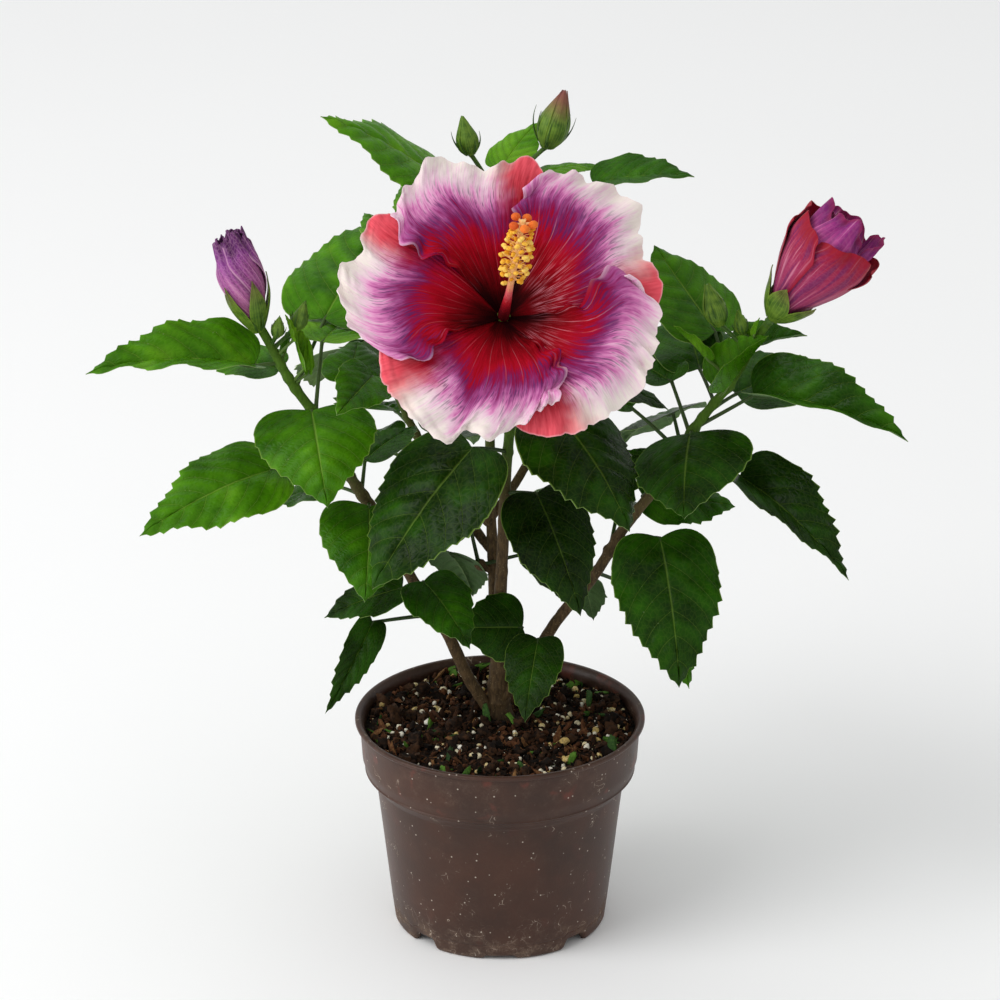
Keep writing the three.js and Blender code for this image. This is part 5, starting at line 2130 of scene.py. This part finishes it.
@dataclass(frozen=True)
class PetalPlan:
    """A petal's outline, in degrees round the bloom and mm from its throat.

    The headings of its over edge and its hidden under edge are given at even steps from throat to rim, and
    its reach at even steps from the under edge to the over edge. A peak is a heading, a height and a width.
    """

    over: tuple[float, ...]
    under: tuple[float, ...]
    rim: tuple[float, ...]
    peaks: tuple[tuple[float, float, float], ...] = ()


@dataclass
class Bloom:
    """The open flower: five lapped petals, its calyx and stalk, and the column of stamens."""

    throat: Vec = field(default_factory=lambda: np.array([1.5, -45.0, 350.0]))
    heading: float = -83.0
    rise: float = 41.0
    depth: float = 27.0
    inner: float = 3.0
    droop: float = 5.0
    lap: float = 2.6
    thickness: float = 0.6
    calyx_depth: float = 24.0
    reach: float = 79.0
    edge_ruffles: float = 5.2
    rim_ruffle_pitch: float = 17.0
    swell_pitch: float = 37.0
    stamens: int = 78
    rows: int = 84
    columns: int = 106
    column_tip: Vec = field(default_factory=lambda: np.array([11.1, -76.4, 412.0]))
    petals: tuple[PetalPlan, ...] = (
        PetalPlan((146, 143, 142, 149, 139), (60, 63, 62),
                  (60, 70, 79, 73, 71, 73.5, 82, 80.5, 77, 73.5, 69)),
        PetalPlan((80, 78, 78, 82, 76), (-26, -20, -12),
                  (66, 74, 77.5, 73, 74.5, 81.5, 82.5, 78.5, 75, 71.5, 62)),
        PetalPlan((-14, -12, -6, 13, 8), (-88, -92, -95),
                  (60, 68, 72, 74, 75, 78, 77, 75.5, 75, 72, 59)),
        PetalPlan((-68, -60, -54, -59, -72), (-164, -168, -172),
                  (60, 67, 73, 75, 76, 77.5, 70, 70, 66, 60, 58), ((-116, 7, 3.2), (-101, 4, 2.6))),
        PetalPlan((213, 210, 206, 215, 199), (128, 130, 128),
                  (64, 70, 79, 78, 75, 82, 83, 80.5, 79, 75, 69)),
    )

    @cached_property
    def axes(self) -> tuple[Vec, Vec, Vec]:
        """Give the bloom's right, its up and the way it looks."""
        axis = toward(self.heading, self.rise)
        right = unit_vector(np.cross([0.0, 0.0, 1.0], axis))
        return right, np.cross(axis, right), axis

    def petal(self, plan: PetalPlan, order: int) -> tuple[Vec, Vec]:
        """Give a petal's middle surface and chart.

        Args:
            plan: The petal's outline.
            order: Its number, counted turning right from the top one.

        Returns:
            Points by row, throat to rim, and column, over edge to under edge, and their chart.
        """
        right, up, axis = self.axes
        columns = np.sin(np.linspace(0.5, -0.5, self.columns) * pi * 0.82) / sin(0.41 * pi)
        rows = 1 - (1 - np.linspace(0, 1, self.rows)) ** 1.25
        side, share = np.meshgrid(columns, rows)
        spots = np.stack([60 * share, np.full_like(share, 9.0 * order), 0 * share], -1)
        edge_phase = 2 * pi * share * self.edge_ruffles + 2.4 * order
        curly = 2.3 * np.sin(edge_phase) + 2.2 * noise(spots, 9.0, order)
        curly = np.degrees(curly / (78 * np.maximum(share, 0.3))) * smooth(share, 0.36, 0.6)
        over, under = through(plan.over, share), through(plan.under, share)
        angle = under + (over - under) * (side + 1) / 2 + curly * smooth(side, 0.72, 1.0)
        reach = through(plan.rim, (side + 1) / 2)
        for heading, height, width in plan.peaks:
            reach = reach + height * hill(angle, heading, width)
        rim_arc = np.radians(angle[-1:]) * self.reach
        spots = np.stack([rim_arc, np.full_like(rim_arc, 9.0 * order), 0 * rim_arc], -1)
        drift = 3.6 * noise(spots, 24.0, order)
        phase = 2 * pi * rim_arc / self.rim_ruffle_pitch + drift + 1.3 * order
        frilly = smooth(side, -0.75, -0.35)
        reach = reach + frilly * (1.1 * np.sin(phase + 0.7) + 0.6 * np.sin(2.3 * phase)) \
            + 1.1 * layered(spots, 7.0, 2, 20 + order)
        radius = self.inner + (reach - self.inner) * share
        full = radius / self.reach
        funnel = self.depth * (1 - np.maximum(1 - full, 0) ** 2.6) - self.droop * smooth(full, 0.7, 1.0)
        lap = side * (0.7 + self.lap * smooth(share, 0.12, 0.5))
        arc = np.radians(angle) * radius
        places = np.stack([arc, 0.45 * radius, np.full_like(arc, 60.0 * order)], -1)
        wander = 1.8 * noise(places, 22.0, order)
        near_rim = smooth(share, 0.78, 1.0) ** 1.5 * frilly
        near_edge = smooth(side, 0.72, 1.0) * smooth(share, 0.2, 0.45)
        near_edge = near_edge * (1 - 0.4 * smooth(share, 0.85, 1.0))
        edge_wave = np.sin(edge_phase + 1.2 + 0.4 * wander)
        ruffle = 2.3 * near_rim * np.sin(phase) + 2.6 * near_edge * edge_wave
        swell = 0.9 * np.sin(np.radians(angle) * self.reach / self.swell_pitch * 2 * pi)
        swell = swell * smooth(share, 0.3, 0.85)
        frill = 1.2 * layered(places, 6.0, 2, 40 + order) * smooth(share, 0.82, 1.0)
        folds = 0.5 * noise(np.stack([angle * 0.4, share * 1.5, 0 * angle], -1), 1.5, 7 + order)
        folds = folds + 0.2 * np.sin(angle * 2.1 + 2 * noise(places, 30.0, 3))
        height = funnel + lap + ruffle + swell + frill + folds * smooth(share, 0.08, 0.35)
        turn = np.radians(angle)
        middle = (
            self.throat
            + right * (radius * np.cos(turn))[..., None]
            + up * (radius * np.sin(turn))[..., None]
            + axis * height[..., None]
        )
        return middle, np.stack([(side + 1) / 2, share], -1)

    def petal_piece(self) -> Piece:
        """Make the five petals as one piece.

        Returns:
            The piece.
        """
        stock = Stock(2 * len(self.petals))
        for order, plan in enumerate(self.petals):
            middle, chart = self.petal(plan, order)
            upper, lower = skins_of(middle, self.thickness)
            stock.add_skins(upper, lower, chart, (order + 0.5) / 5)
        return stock.build("bloom_petals", PETAL_SKIN)

    def cup_piece(self) -> Piece:
        """Make the calyx behind the bloom, its bracts, and the stalk down to the front stem.

        Returns:
            The piece.
        """
        axis = self.axes[2]
        stock = Stock(30)
        foot = self.throat - axis * self.calyx_depth
        profile = (3.0, 6.4, 7.8, 8.2, 8.8, 9.6, 11.0)
        Cup(foot, axis, 29.0, profile, 0.5, 8, 14.0, 6.0, 0.0, 0.0, 5).add_to(stock)
        tip = LIMBS[LimbName.FRONT].point_at(LIMBS[LimbName.FRONT].top)
        knee = mix(tip, foot - axis * 8, 0.6) + np.array([0, 0, 2.0])
        path = bend(tip - np.array([0, 0, 1.0]), knee, foot + axis * 2, 30)
        t = np.linspace(0, 1, 30)
        stock.add_rod(path, 2.0 + 0.6 * hill(t, 0.55, 0.05) + 1.3 * smooth(t, 0.85, 1), 16, 0.0, 1)
        tube = foot + axis * np.linspace(1, 27, 14)[:, None]
        stock.add_rod(tube, np.linspace(2.6, 3.4, 14), 20)
        return stock.build("bloom_cup", SEPAL_SKIN, BRACT_SKIN)

    def column_line(self, count: int) -> Vec:
        """Give the column's middle line."""
        axis = self.axes[2]
        return bend(self.throat + axis * 3, self.throat + axis * 36, self.column_tip, count)

    def column_piece(self) -> Piece:
        """Make the column, its threads and the style's five arms.

        Returns:
            The piece.
        """
        stock = Stock(90)
        line = self.column_line(60)
        t = np.linspace(0, 1, 60)
        rings, outward = sweep(line, 2.9 - 1.1 * smooth(t, 0, 0.45) - 0.5 * t, 20)
        ribs = 0.12 * np.sin(circle(20) * 5)[None, :, None]
        stock.add_tube(rings + outward * ribs, smooth(t, 0.06, 0.62))
        for foot, tip, _ in self.threads():
            knee = mix(foot, tip, 0.5) + np.array([0, 0, 0.5])
            stock.add_rod(bend(foot, knee, tip, 5), np.array([0.36, 0.3, 0.27, 0.25, 0.22]), 5, 1.0)
        for foot, tip in self.arms():
            knee = mix(foot, tip, 0.45) + self.column_end * 1.6
            stock.add_rod(bend(foot, knee, tip, 8), np.linspace(0.75, 0.6, 8), 8, 0.9)
        return stock.build("bloom_column_tube", COLUMN_SKIN)

    @cached_property
    def column_end(self) -> Vec:
        """Give the way the column points at its tip."""
        line = self.column_line(60)
        return unit_vector(line[-1] - line[-4])

    def across_column(self) -> tuple[Vec, Vec]:
        """Give two directions across the column's tip."""
        first = unit_vector(np.cross(self.column_end, [0.0, 0.0, 1.0]))
        return first, np.cross(first, self.column_end)

    def threads(self) -> list[tuple[Vec, Vec, float]]:
        """Give the stamens: foot, tip and a number of its own each.

        Returns:
            Two points and a number from 0 to 1 for each stamen.
        """
        line = self.column_line(200)
        first, second = self.across_column()
        found = []
        for i in range(self.stamens):
            share = mix(0.50, 0.92, i / (self.stamens - 1)) + between(-0.012, 0.012, i)
            foot = line[round(share * 199)]
            turn = radians(i * NODE_TURN)
            out = first * cos(turn) + second * sin(turn)
            bulge = sin(pi * (0.2 + 0.72 * (share - 0.5) / 0.42))
            spread = (3.8 + 3.6 * bulge) * between(0.78, 1.08, 40 + i)
            tip = foot + out * spread + self.column_end * between(0.6, 3.0, 80 + i)
            found.append((foot, tip, unit(i + 5)))
        return found

    def arms(self) -> list[tuple[Vec, Vec]]:
        """Give the style's five arms: foot and tip each.

        Returns:
            Two points for each arm.
        """
        first, second = self.across_column()
        foot = self.column_line(60)[-3]
        found = []
        for i in range(5):
            turn = radians(72 * i + 20)
            out = first * cos(turn) + second * sin(turn)
            tip = foot + out * between(4.4, 5.4, i + 3) + self.column_end * between(-0.5, 3.5, i)
            found.append((foot, tip))
        return found

    def anther_piece(self) -> Piece:
        """Make the anthers: small two-lobed cushions of pollen.

        Returns:
            The piece.
        """
        rows = []
        tints = []
        points, _, _ = ball(8, 12)
        for _, tip, own in self.threads():
            size = 1.0 + 0.35 * own
            for lobe in (-1, 1):
                shift = np.array([unit(own * 91) - 0.5, unit(own * 37) - 0.5, unit(own * 53) - 0.5])
                body = points * np.array([1.0, 0.85, 0.8]) * size
                lumps = 1 + 0.16 * noise(points * 3 + own * 50, 1.0, 5)[:, None]
                rows.append(tip + body * lumps + shift * lobe * 1.0)
                tints.append(own)
        stock = Stock()
        stock.add_balls(np.array(rows), np.array(tints), ball(8, 12))
        return stock.build("anthers", POLLEN)

    def stigma_piece(self) -> Piece:
        """Make the five round stigma pads, furred with tiny bumps.

        Returns:
            The piece.
        """
        points, quads, fans = ball(16, 24)
        rows = []
        for i, (_, tip) in enumerate(self.arms()):
            fur = 1 + 0.06 * noise(points * 9 + i * 7, 1.0, 3) + 0.05 * noise(points * 3, 1.0, i)
            rows.append(tip + points * np.array([2.35, 2.35, 2.0]) * fur[:, None])
        stock = Stock()
        stock.add_balls(np.array(rows), np.linspace(0.3, 1, 5), (points, quads, fans))
        return stock.build("stigma_pads", STIGMA_SKIN)

    def dress(self) -> None:
        """Make every piece of the bloom and settle it."""
        settle(self.petal_piece(), "petal", "bloom")
        settle(self.cup_piece(), "leaf")
        settle(self.column_piece(), "stamen", "bloom_column")
        settle(self.anther_piece(), "stamen")
        settle(self.stigma_piece(), "stamen")


# ---- pot and potting mix ----


@dataclass
class NurseryPot:
    """The round pot: stepped collar, rolled lip, and a foot ring with openings."""

    height: float = 114.0
    rim_radius: float = 75.0
    lip_drop: float = 1.6
    lip_overhang: float = 2.3
    collar_radius: float = 71.3
    collar_bottom: float = 92.4
    shoulder_radius: float = 69.4
    shoulder_height: float = 85.5
    body_radius: float = 64.2
    body_top: float = 79.0
    foot_radius: float = 55.1
    foot_ring: float = 6.0
    foot_width: float = 3.4
    corner: float = 1.8
    centre_foot: float = 15.0
    floor_thickness: float = 2.4
    wall: float = 2.0
    segments: int = 270
    arch_width: float = 14.0
    arch_height: float = 5.2
    slot_width: float = 17.0
    slot_height: float = 1.6
    opening_slope: float = 2.6
    groove: float = 8.0

    def wall_radius(self, height: float | Vec) -> float | Vec:
        """Give the outer radius at a height on the side wall.

        Args:
            height: The height.

        Returns:
            The radius, mm.
        """
        wall = np.interp(
            height,
            [0, self.body_top, self.shoulder_height, self.collar_bottom, self.height],
            [self.foot_radius, self.body_radius, self.shoulder_radius, self.collar_radius,
             self.rim_radius - self.lip_overhang],
        )
        above = np.asarray(height) - self.shoulder_height
        bead = 0.6 * hill(above, 0.2, 0.5) - 0.35 * hill(above, -1.1, 0.45)
        return wall + bead - 0.3 * hill(np.asarray(height), self.groove, 0.5)

    def profile(self) -> Vec:
        """Give the lathe profile from the underside's middle, round the lip, to the floor's middle.

        Returns:
            Radius and height of each point.
        """
        r, h, rim = self.foot_radius, self.height, self.rim_radius
        outside = np.concatenate([
            np.linspace(self.corner, 6.5, 5), np.linspace(7.0, 9.0, 9), np.linspace(10, 14, 4),
            np.linspace(16, self.body_top - 2, 28),
            [self.body_top - 0.8, self.body_top - 0.25, self.body_top + 0.25, self.body_top + 0.9],
            np.linspace(self.body_top + 1.8, self.shoulder_height - 2.6, 3),
            self.shoulder_height + np.linspace(-2.2, 1.2, 18),
            np.linspace(self.shoulder_height + 2, h - self.lip_drop - 1.4, 16),
        ])
        inside = np.concatenate([
            np.linspace(h - self.lip_drop - 1, self.collar_bottom, 8),
            [self.shoulder_height, self.body_top], np.linspace(self.body_top - 4, 9.5, 12),
        ])
        lip = [
            (rim - 1.6, h - self.lip_drop - 1.1), (rim - 0.5, h - self.lip_drop - 0.7),
            (rim, h - self.lip_drop), (rim, h - 0.7), (rim - 0.3, h - 0.2), (rim - 0.9, h),
            (rim - self.lip_overhang, h), (rim - self.lip_overhang - 0.5, h - 0.4),
        ]
        foot = [
            (2.0, 0.0), (self.centre_foot, 0.0), (self.centre_foot + 1.5, self.foot_ring),
            (r - self.foot_width - 0.8, self.foot_ring), (r - self.foot_width, 0.4),
            (r - self.foot_width + 0.4, 0.0), (r - self.corner, 0.0), (r - 0.55, 0.5),
        ]
        walls = [(float(self.wall_radius(z)), z) for z in outside]
        hollow = [(float(self.wall_radius(z)) - self.wall, z) for z in inside]
        floor = self.foot_ring + self.floor_thickness
        return np.array(foot + walls + lip + hollow + [(r - 4.6, floor), (2.0, floor)])

    def opening(self, heading: Vec) -> Vec:
        """Give how high the foot ring is cut away at each heading, degrees.

        Args:
            heading: The headings.

        Returns:
            The height of the cut at each of them, mm.
        """
        tall = np.zeros_like(heading)
        for first, width, height in ((45, self.arch_width, self.arch_height),
                                     (0, self.slot_width, self.slot_height)):
            away = np.abs((heading - first + 45) % 90 - 45) * pi / 180 * self.foot_radius
            share = np.clip((width / 2 + self.opening_slope / 2 - away) / self.opening_slope, 0, 1)
            tall = np.maximum(tall, height * share)
        return tall

    def piece(self) -> Piece:
        """Make the pot.

        Returns:
            The piece.
        """
        profile = self.profile()
        heading = np.linspace(0, 360, self.segments, endpoint=False)
        turn = np.radians(heading)
        radius, height = profile[:, :1], profile[:, 1:]
        outer = smooth(radius, self.centre_foot + 4, self.foot_radius - 8)
        share = np.clip(height / 12.0, 0, 1)
        below = np.arange(len(profile))[:, None] < len(profile) - 16
        cut = self.opening(heading)[None, :] * (1 - share) * outer
        raised = height + np.where(below & (height < 12), cut, 0)
        roof = (radius < self.foot_radius - self.foot_width - 0.5) & (height > 5) & (height < 7)
        raised = np.where(roof, height, raised)
        x, y = radius * np.cos(turn)[None, :], radius * np.sin(turn)[None, :]
        rings = np.stack([x, y, raised * np.ones_like(x)], -1)
        wobble = 0.12 * noise(rings, 30.0, 4) * smooth(height, 8, 30)
        outward = np.stack([np.cos(turn), np.sin(turn), 0 * turn], -1)[None]
        stock = Stock()
        stock.add_tube(rings + outward * wobble[..., None])
        return stock.build("pot_shell", POT_PLASTIC)

    def dress(self) -> None:
        """Make the pot and settle it."""
        settle(self.piece(), "pot_plastic", "pot")


@dataclass(frozen=True)
class Grains:
    """One kind of lump in the mix.

    The sizes are the least and the most radius in mm, and the higher the skew, the commoner the small ones.
    The shape stretches a lump along three axes, and lumps says how uneven it is. The tones are the least
    and the most tint. The detail is how many rings and sides its mesh has. The seed picks the scatter.
    """

    name: str
    finish: Finish
    count: int
    sizes: tuple[float, float]
    shape: tuple[float, float, float]
    lumps: float
    tones: tuple[float, float]
    detail: tuple[int, int]
    seed: int
    skew: float = 2.0


GRAINS = (
    Grains("mix_crumbs", CRUMBS, 2600, (0.35, 2.3), (1.0, 0.75, 0.6), 0.9, (0.0, 0.8), (3, 6), 1),
    Grains("mix_bark_chips", CRUMBS, 300, (1.0, 4.0), (1.3, 0.5, 0.28), 0.75, (0.25, 1.0), (5, 8), 2),
    Grains("mix_clods", PEAT, 150, (1.6, 4.2), (1.0, 0.85, 0.7), 0.9, (0.2, 1.0), (8, 12), 8, 1.5),
    Grains("mix_perlite", PERLITE, 210, (0.7, 1.9), (1.0, 0.9, 0.8), 0.3, (0.3, 1.0), (6, 9), 3, 1.2),
    Grains("mix_perlite_dust", PERLITE, 320, (0.22, 0.6), (1.0, 0.9, 0.8), 0.3, (0.3, 1.0), (4, 6), 4),
    Grains("mix_yellow_lumps", PERLITE, 44, (1.2, 2.8), (1.0, 0.8, 0.6), 0.45, (0.1, 0.4), (8, 12), 6),
    Grains("mix_green_bits", LEAF_LITTER, 56, (1.2, 5.6), (1.4, 0.5, 0.18), 0.6, (0.1, 0.9), (6, 10), 7),
)


@dataclass
class PottingMix:
    """Peat with bark crumbs, fibres, perlite and a few green bits, lying a little below the rim."""

    pot: NurseryPot
    level: float = 107.5
    margin: float = 0.4
    trunk_clear: float = 8.5
    fibre_count: int = 260
    seed: int = 2026

    @property
    def edge(self) -> float:
        """Give the radius where the mix meets the pot."""
        return float(self.pot.wall_radius(self.level)) - self.pot.wall - self.margin

    def from_trunk(self, x: Vec, y: Vec) -> Vec:
        """Give how far a place is from the trunk's middle."""
        return np.hypot(x + 0.5, y - 10)

    def ground(self, x: Vec, y: Vec) -> Vec:
        """Give the mix's height at a place.

        Args:
            x: Places along +X.
            y: Places along +Y.

        Returns:
            The height at each place, mm.
        """
        spots = np.stack([x, y, np.zeros_like(x)], -1)
        mound = 2.6 * hill(self.from_trunk(x, y), 0, 17) - 0.6
        return self.level + mound + 1.7 * noise(spots, 15.0, 1) + 1.3 * noise(spots, 5.0, 2) \
            + 0.6 * noise(spots, 2.2, 3)

    def bed(self) -> Piece:
        """Make the body of the mix, cloddy on top.

        Returns:
            The piece.
        """
        bottom = self.pot.foot_ring + self.pot.floor_thickness + GAP
        low = np.array([bottom, self.pot.body_top, self.pot.collar_bottom, self.level - 3])
        side = self.pot.wall_radius(low) - self.pot.wall - self.margin
        top = np.concatenate([[self.edge, self.edge - 0.5], np.linspace(self.edge - 1.2, 0.6, 74)])
        radius = np.concatenate([side, top])[:, None]
        turn = circle(240)[None, :]
        x, y = radius * np.cos(turn), radius * np.sin(turn)
        height = self.ground(x, y)
        height[: len(low)] = low[:, None]
        stock = Stock()
        stock.add_tube(np.stack([x, y, height], -1), 0.35)
        return stock.build("mix_bed", PEAT)

    def scattered(self, rng: np.random.Generator, count: int, inset: float) -> tuple[Vec, Vec]:
        """Give even random places on the mix, clear of the trunk.

        Args:
            rng: What draws the random numbers.
            count: How many places.
            inset: How far they keep from the edge, mm.

        Returns:
            Where they lie along +X and +Y.
        """
        radius = (self.edge - inset) * np.sqrt(rng.random(2 * count))
        turn = rng.random(2 * count) * 2 * pi
        x, y = radius * np.cos(turn), radius * np.sin(turn)
        clear = self.from_trunk(x, y) > self.trunk_clear
        return x[clear][:count], y[clear][:count]

    def grains(self, kind: Grains) -> Piece:
        """Make many lumps of one kind that lie half sunk in the mix.

        Args:
            kind: The kind.

        Returns:
            The piece.
        """
        count = kind.count
        rng = np.random.default_rng(self.seed + kind.seed)
        radius = mix(*kind.sizes, rng.random(count) ** kind.skew)
        x, y = self.scattered(rng, count, 2.0)
        template = ball(*kind.detail)
        points = template[0]
        spin = rng.normal(size=(count, 4))
        spin /= np.linalg.norm(spin, axis=1, keepdims=True)
        turned = rotated(points[None] * np.array(kind.shape) * radius[:, None, None], spin)
        places = points[None] * 1.7 + rng.random((count, 1, 3)) * 90
        turned = turned * (1 + kind.lumps * noise(places, 1.0, kind.seed))[..., None]
        lowest = turned[..., 2].min(1)
        sink = 0.42 + 0.3 * rng.random(count)
        height = self.ground(x, y) - lowest * sink
        placed = turned + np.stack([x, y, height], -1)[:, None]
        stock = Stock()
        stock.add_balls(placed, mix(*kind.tones, rng.random(count)), template)
        return stock.build(kind.name, kind.finish)

    def fibres(self) -> Piece:
        """Make the coir threads and rootlets that lie about.

        Returns:
            The piece.
        """
        rng = np.random.default_rng(self.seed + 5)
        stock = Stock(self.fibre_count)
        x, y = self.scattered(rng, self.fibre_count, 9.0)
        for px, py in zip(x, y):
            turn, length = rng.random() * 2 * pi, 3 + 8 * rng.random() ** 1.6
            way = np.array([cos(turn), sin(turn), 0.0])
            start = np.array([px, py, 0.0]) - way * length / 2
            sway = np.array([-way[1], way[0], 0.0]) * length * rng.normal() * 0.22
            path = bend(start, start + way * length / 2 + sway, start + way * length, 9)
            path[:, 2] = self.ground(path[:, 0], path[:, 1]) + 0.45 + 0.5 * rng.random()
            path[:, 2] += np.sin(np.linspace(0, pi, 9)) * rng.random() * 1.2
            thick = 0.16 + 0.4 * rng.random() ** 3
            stock.add_rod(path, thick * np.linspace(1, 0.6, 9), 5, 0.35 + 0.6 * rng.random())
        return stock.build("mix_fibres", CRUMBS)

    def dress(self) -> None:
        """Make the pieces of the mix and settle them."""
        settle(self.bed(), "potting_mix", "soil")
        for kind in GRAINS:
            settle(self.grains(kind), "potting_mix")
        settle(self.fibres(), "potting_mix")


# ---- studio ----


@dataclass
class Studio:
    """A plain pale floor, soft lights from the upper left, the left and behind, and the camera."""

    target: tuple[float, float, float] = (0.0, 0.0, 234.4)
    distance: float = 2500.0
    elevation: float = 22.8
    lens: float = 177.19
    floor_size: float = 12.0
    sky: float = 0.74
    key_power: float = 43.0
    rim_power: float = 5.6
    side_power: float = 12.0

    def floor(self) -> None:
        """Lay the floor."""
        stock = Stock()
        half = self.floor_size * 500
        grid = np.array([[[-half, -half, 0], [half, -half, 0]], [[-half, half, 0], [half, half, 0]]], float)
        stock.add_grid(stock.add_points(grid - np.array([0, 0, 0.05])), chart_of(2, 2), next(stock.cells))
        stock.build("floor", PlainFloor("white_floor_paint"))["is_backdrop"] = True

    def lights(self) -> None:
        """Hang the three soft lights and light the room."""
        for name, heading, rise, distance, size, power in (
            ("key", 214, 47, 3.4, 2.2, self.key_power), ("rim", 110, 58, 2.6, 1.8, self.rim_power),
            ("side", 196, 14, 2.2, 1.2, self.side_power),
        ):
            data = bpy.data.lights.new(name, "AREA")
            data.shape, data.size, data.energy = "DISK", size, power
            lamp = bpy.data.objects.new(name, data)
            way = toward(heading, rise)
            lamp.location = way * distance + np.array([0, 0, 0.2])
            lamp.rotation_mode = "QUATERNION"
            lamp.rotation_quaternion = mathutils.Vector(way).to_track_quat("Z", "Y")
            bpy.context.scene.collection.objects.link(lamp)
        world = bpy.data.worlds.new("room")
        bpy.context.scene.world = world
        world.use_nodes = True
        world.node_tree.nodes.clear()
        light = add_node(world.node_tree, "Background", {"Color": "#f5f6f6", "Strength": self.sky})
        add_node(world.node_tree, "OutputWorld", {"Surface": light})

    def camera(self) -> None:
        """Set the camera."""
        data = bpy.data.cameras.new("camera")
        data.lens, data.sensor_width = self.lens, 36.0
        data.clip_start, data.clip_end = 0.1, 50.0
        made = bpy.data.objects.new("camera", data)
        tilt = radians(self.elevation)
        back = np.array([0.0, -cos(tilt), sin(tilt)])
        made.location = (np.array(self.target) + back * self.distance) * MM
        made.rotation_euler = (pi / 2 - tilt, 0.0, 0.0)
        bpy.context.scene.collection.objects.link(made)
        bpy.context.scene.camera = made

    def dress(self) -> None:
        """Set up the whole studio."""
        self.camera()
        self.floor()
        self.lights()
        bpy.context.scene.view_settings.view_transform = "Standard"


# ---- the shrub ----


BUDS = (
    FurledBud(
        "bud_left", LimbName.LEFT, 180, 75, 53, 9.6, (0.3, 0.6, 0.86, 1.0, 0.98, 0.8, 0.62),
        tuple(Fold(72 * k + 38, 66, -104, 1.0 - 0.02 * k, 1.0, 0.2) for k in range(5)),
        tuple(Fold(72 * k + 50, 80, -130, 1.01 - 0.03 * k, 0.66 - 0.1 * k, 0.3) for k in range(5)),
        1.0, 29, (2.4, 5.4, 7.9, 9.9, 11.2, 11.6, 11.6), MAUVE_BUD_SKIN, MAUVE_BUD_SKIN, neck=-6.0,
        hand=-1.0, lobes=0.22, lapping=1.7, seed=3,
    ),
    FurledBud(
        "bud_right", LimbName.RIGHT, 0, 53, 63, 20.5, (0.18, 0.43, 0.69, 0.92, 1.04, 1.0, 0.9),
        (
            Fold(197, 80, 8, 0.87, 1.0, 0.6), Fold(96, 60, 8, 0.86, 0.98, 1.0),
            Fold(287, 62, 12, 0.84, 0.97, 4.6), Fold(28, 68, 12, 0.88, 0.97, 2.4),
        ),
        (
            Fold(146, 60, 22, 1.07, 0.9, -2.0), Fold(72, 58, 26, 1.02, 0.8, -1.0),
            Fold(240, 56, 26, 1.04, 0.82, 2.5), Fold(322, 58, 26, 1.0, 0.82, 4.5),
            Fold(200, 80, 50, 0.92, 0.45, 0.0), Fold(20, 80, 50, 0.95, 0.45, 0.0),
        ),
        1.7, 22, (2.6, 6.8, 9.6, 11.6, 13.2, 14.8, 15.8), CRIMSON_BUD_SKIN, RUFFLE_SKIN, neck=3.0,
        lobes=0.4, bract_reach=16.0, peeping=True, seed=7,
    ),
)


def corners() -> list[list[float]]:
    """Give the shown object's lowest and highest corner as plain lists."""
    return [[float(x) for x in corner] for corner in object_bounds()]


def main() -> None:
    """Build every sub-assembly in order."""
    logging.basicConfig(level=logging.INFO, format="%(message)s")
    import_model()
    studio = Studio()
    studio.dress()
    bloom = Bloom()
    foliage = Foliage(bloom.throat, bloom.axes[2])
    wood = Wood()
    settle(wood.trunk(), "bark", "trunk")
    for name in LimbName:
        nodes = [f"bough_{name.value}"] if not name.value.startswith("low") else []
        settle(wood.stem(name, foliage.nodes_of(name)), "bark", *nodes)
    foliage.dress()
    settle(GreenBuds().piece(), "leaf")
    bloom.dress()
    for bud in BUDS:
        bud.dress()
    pot = NurseryPot()
    pot.dress()
    PottingMix(pot).dress()


if __name__ == "__main__":
    main()
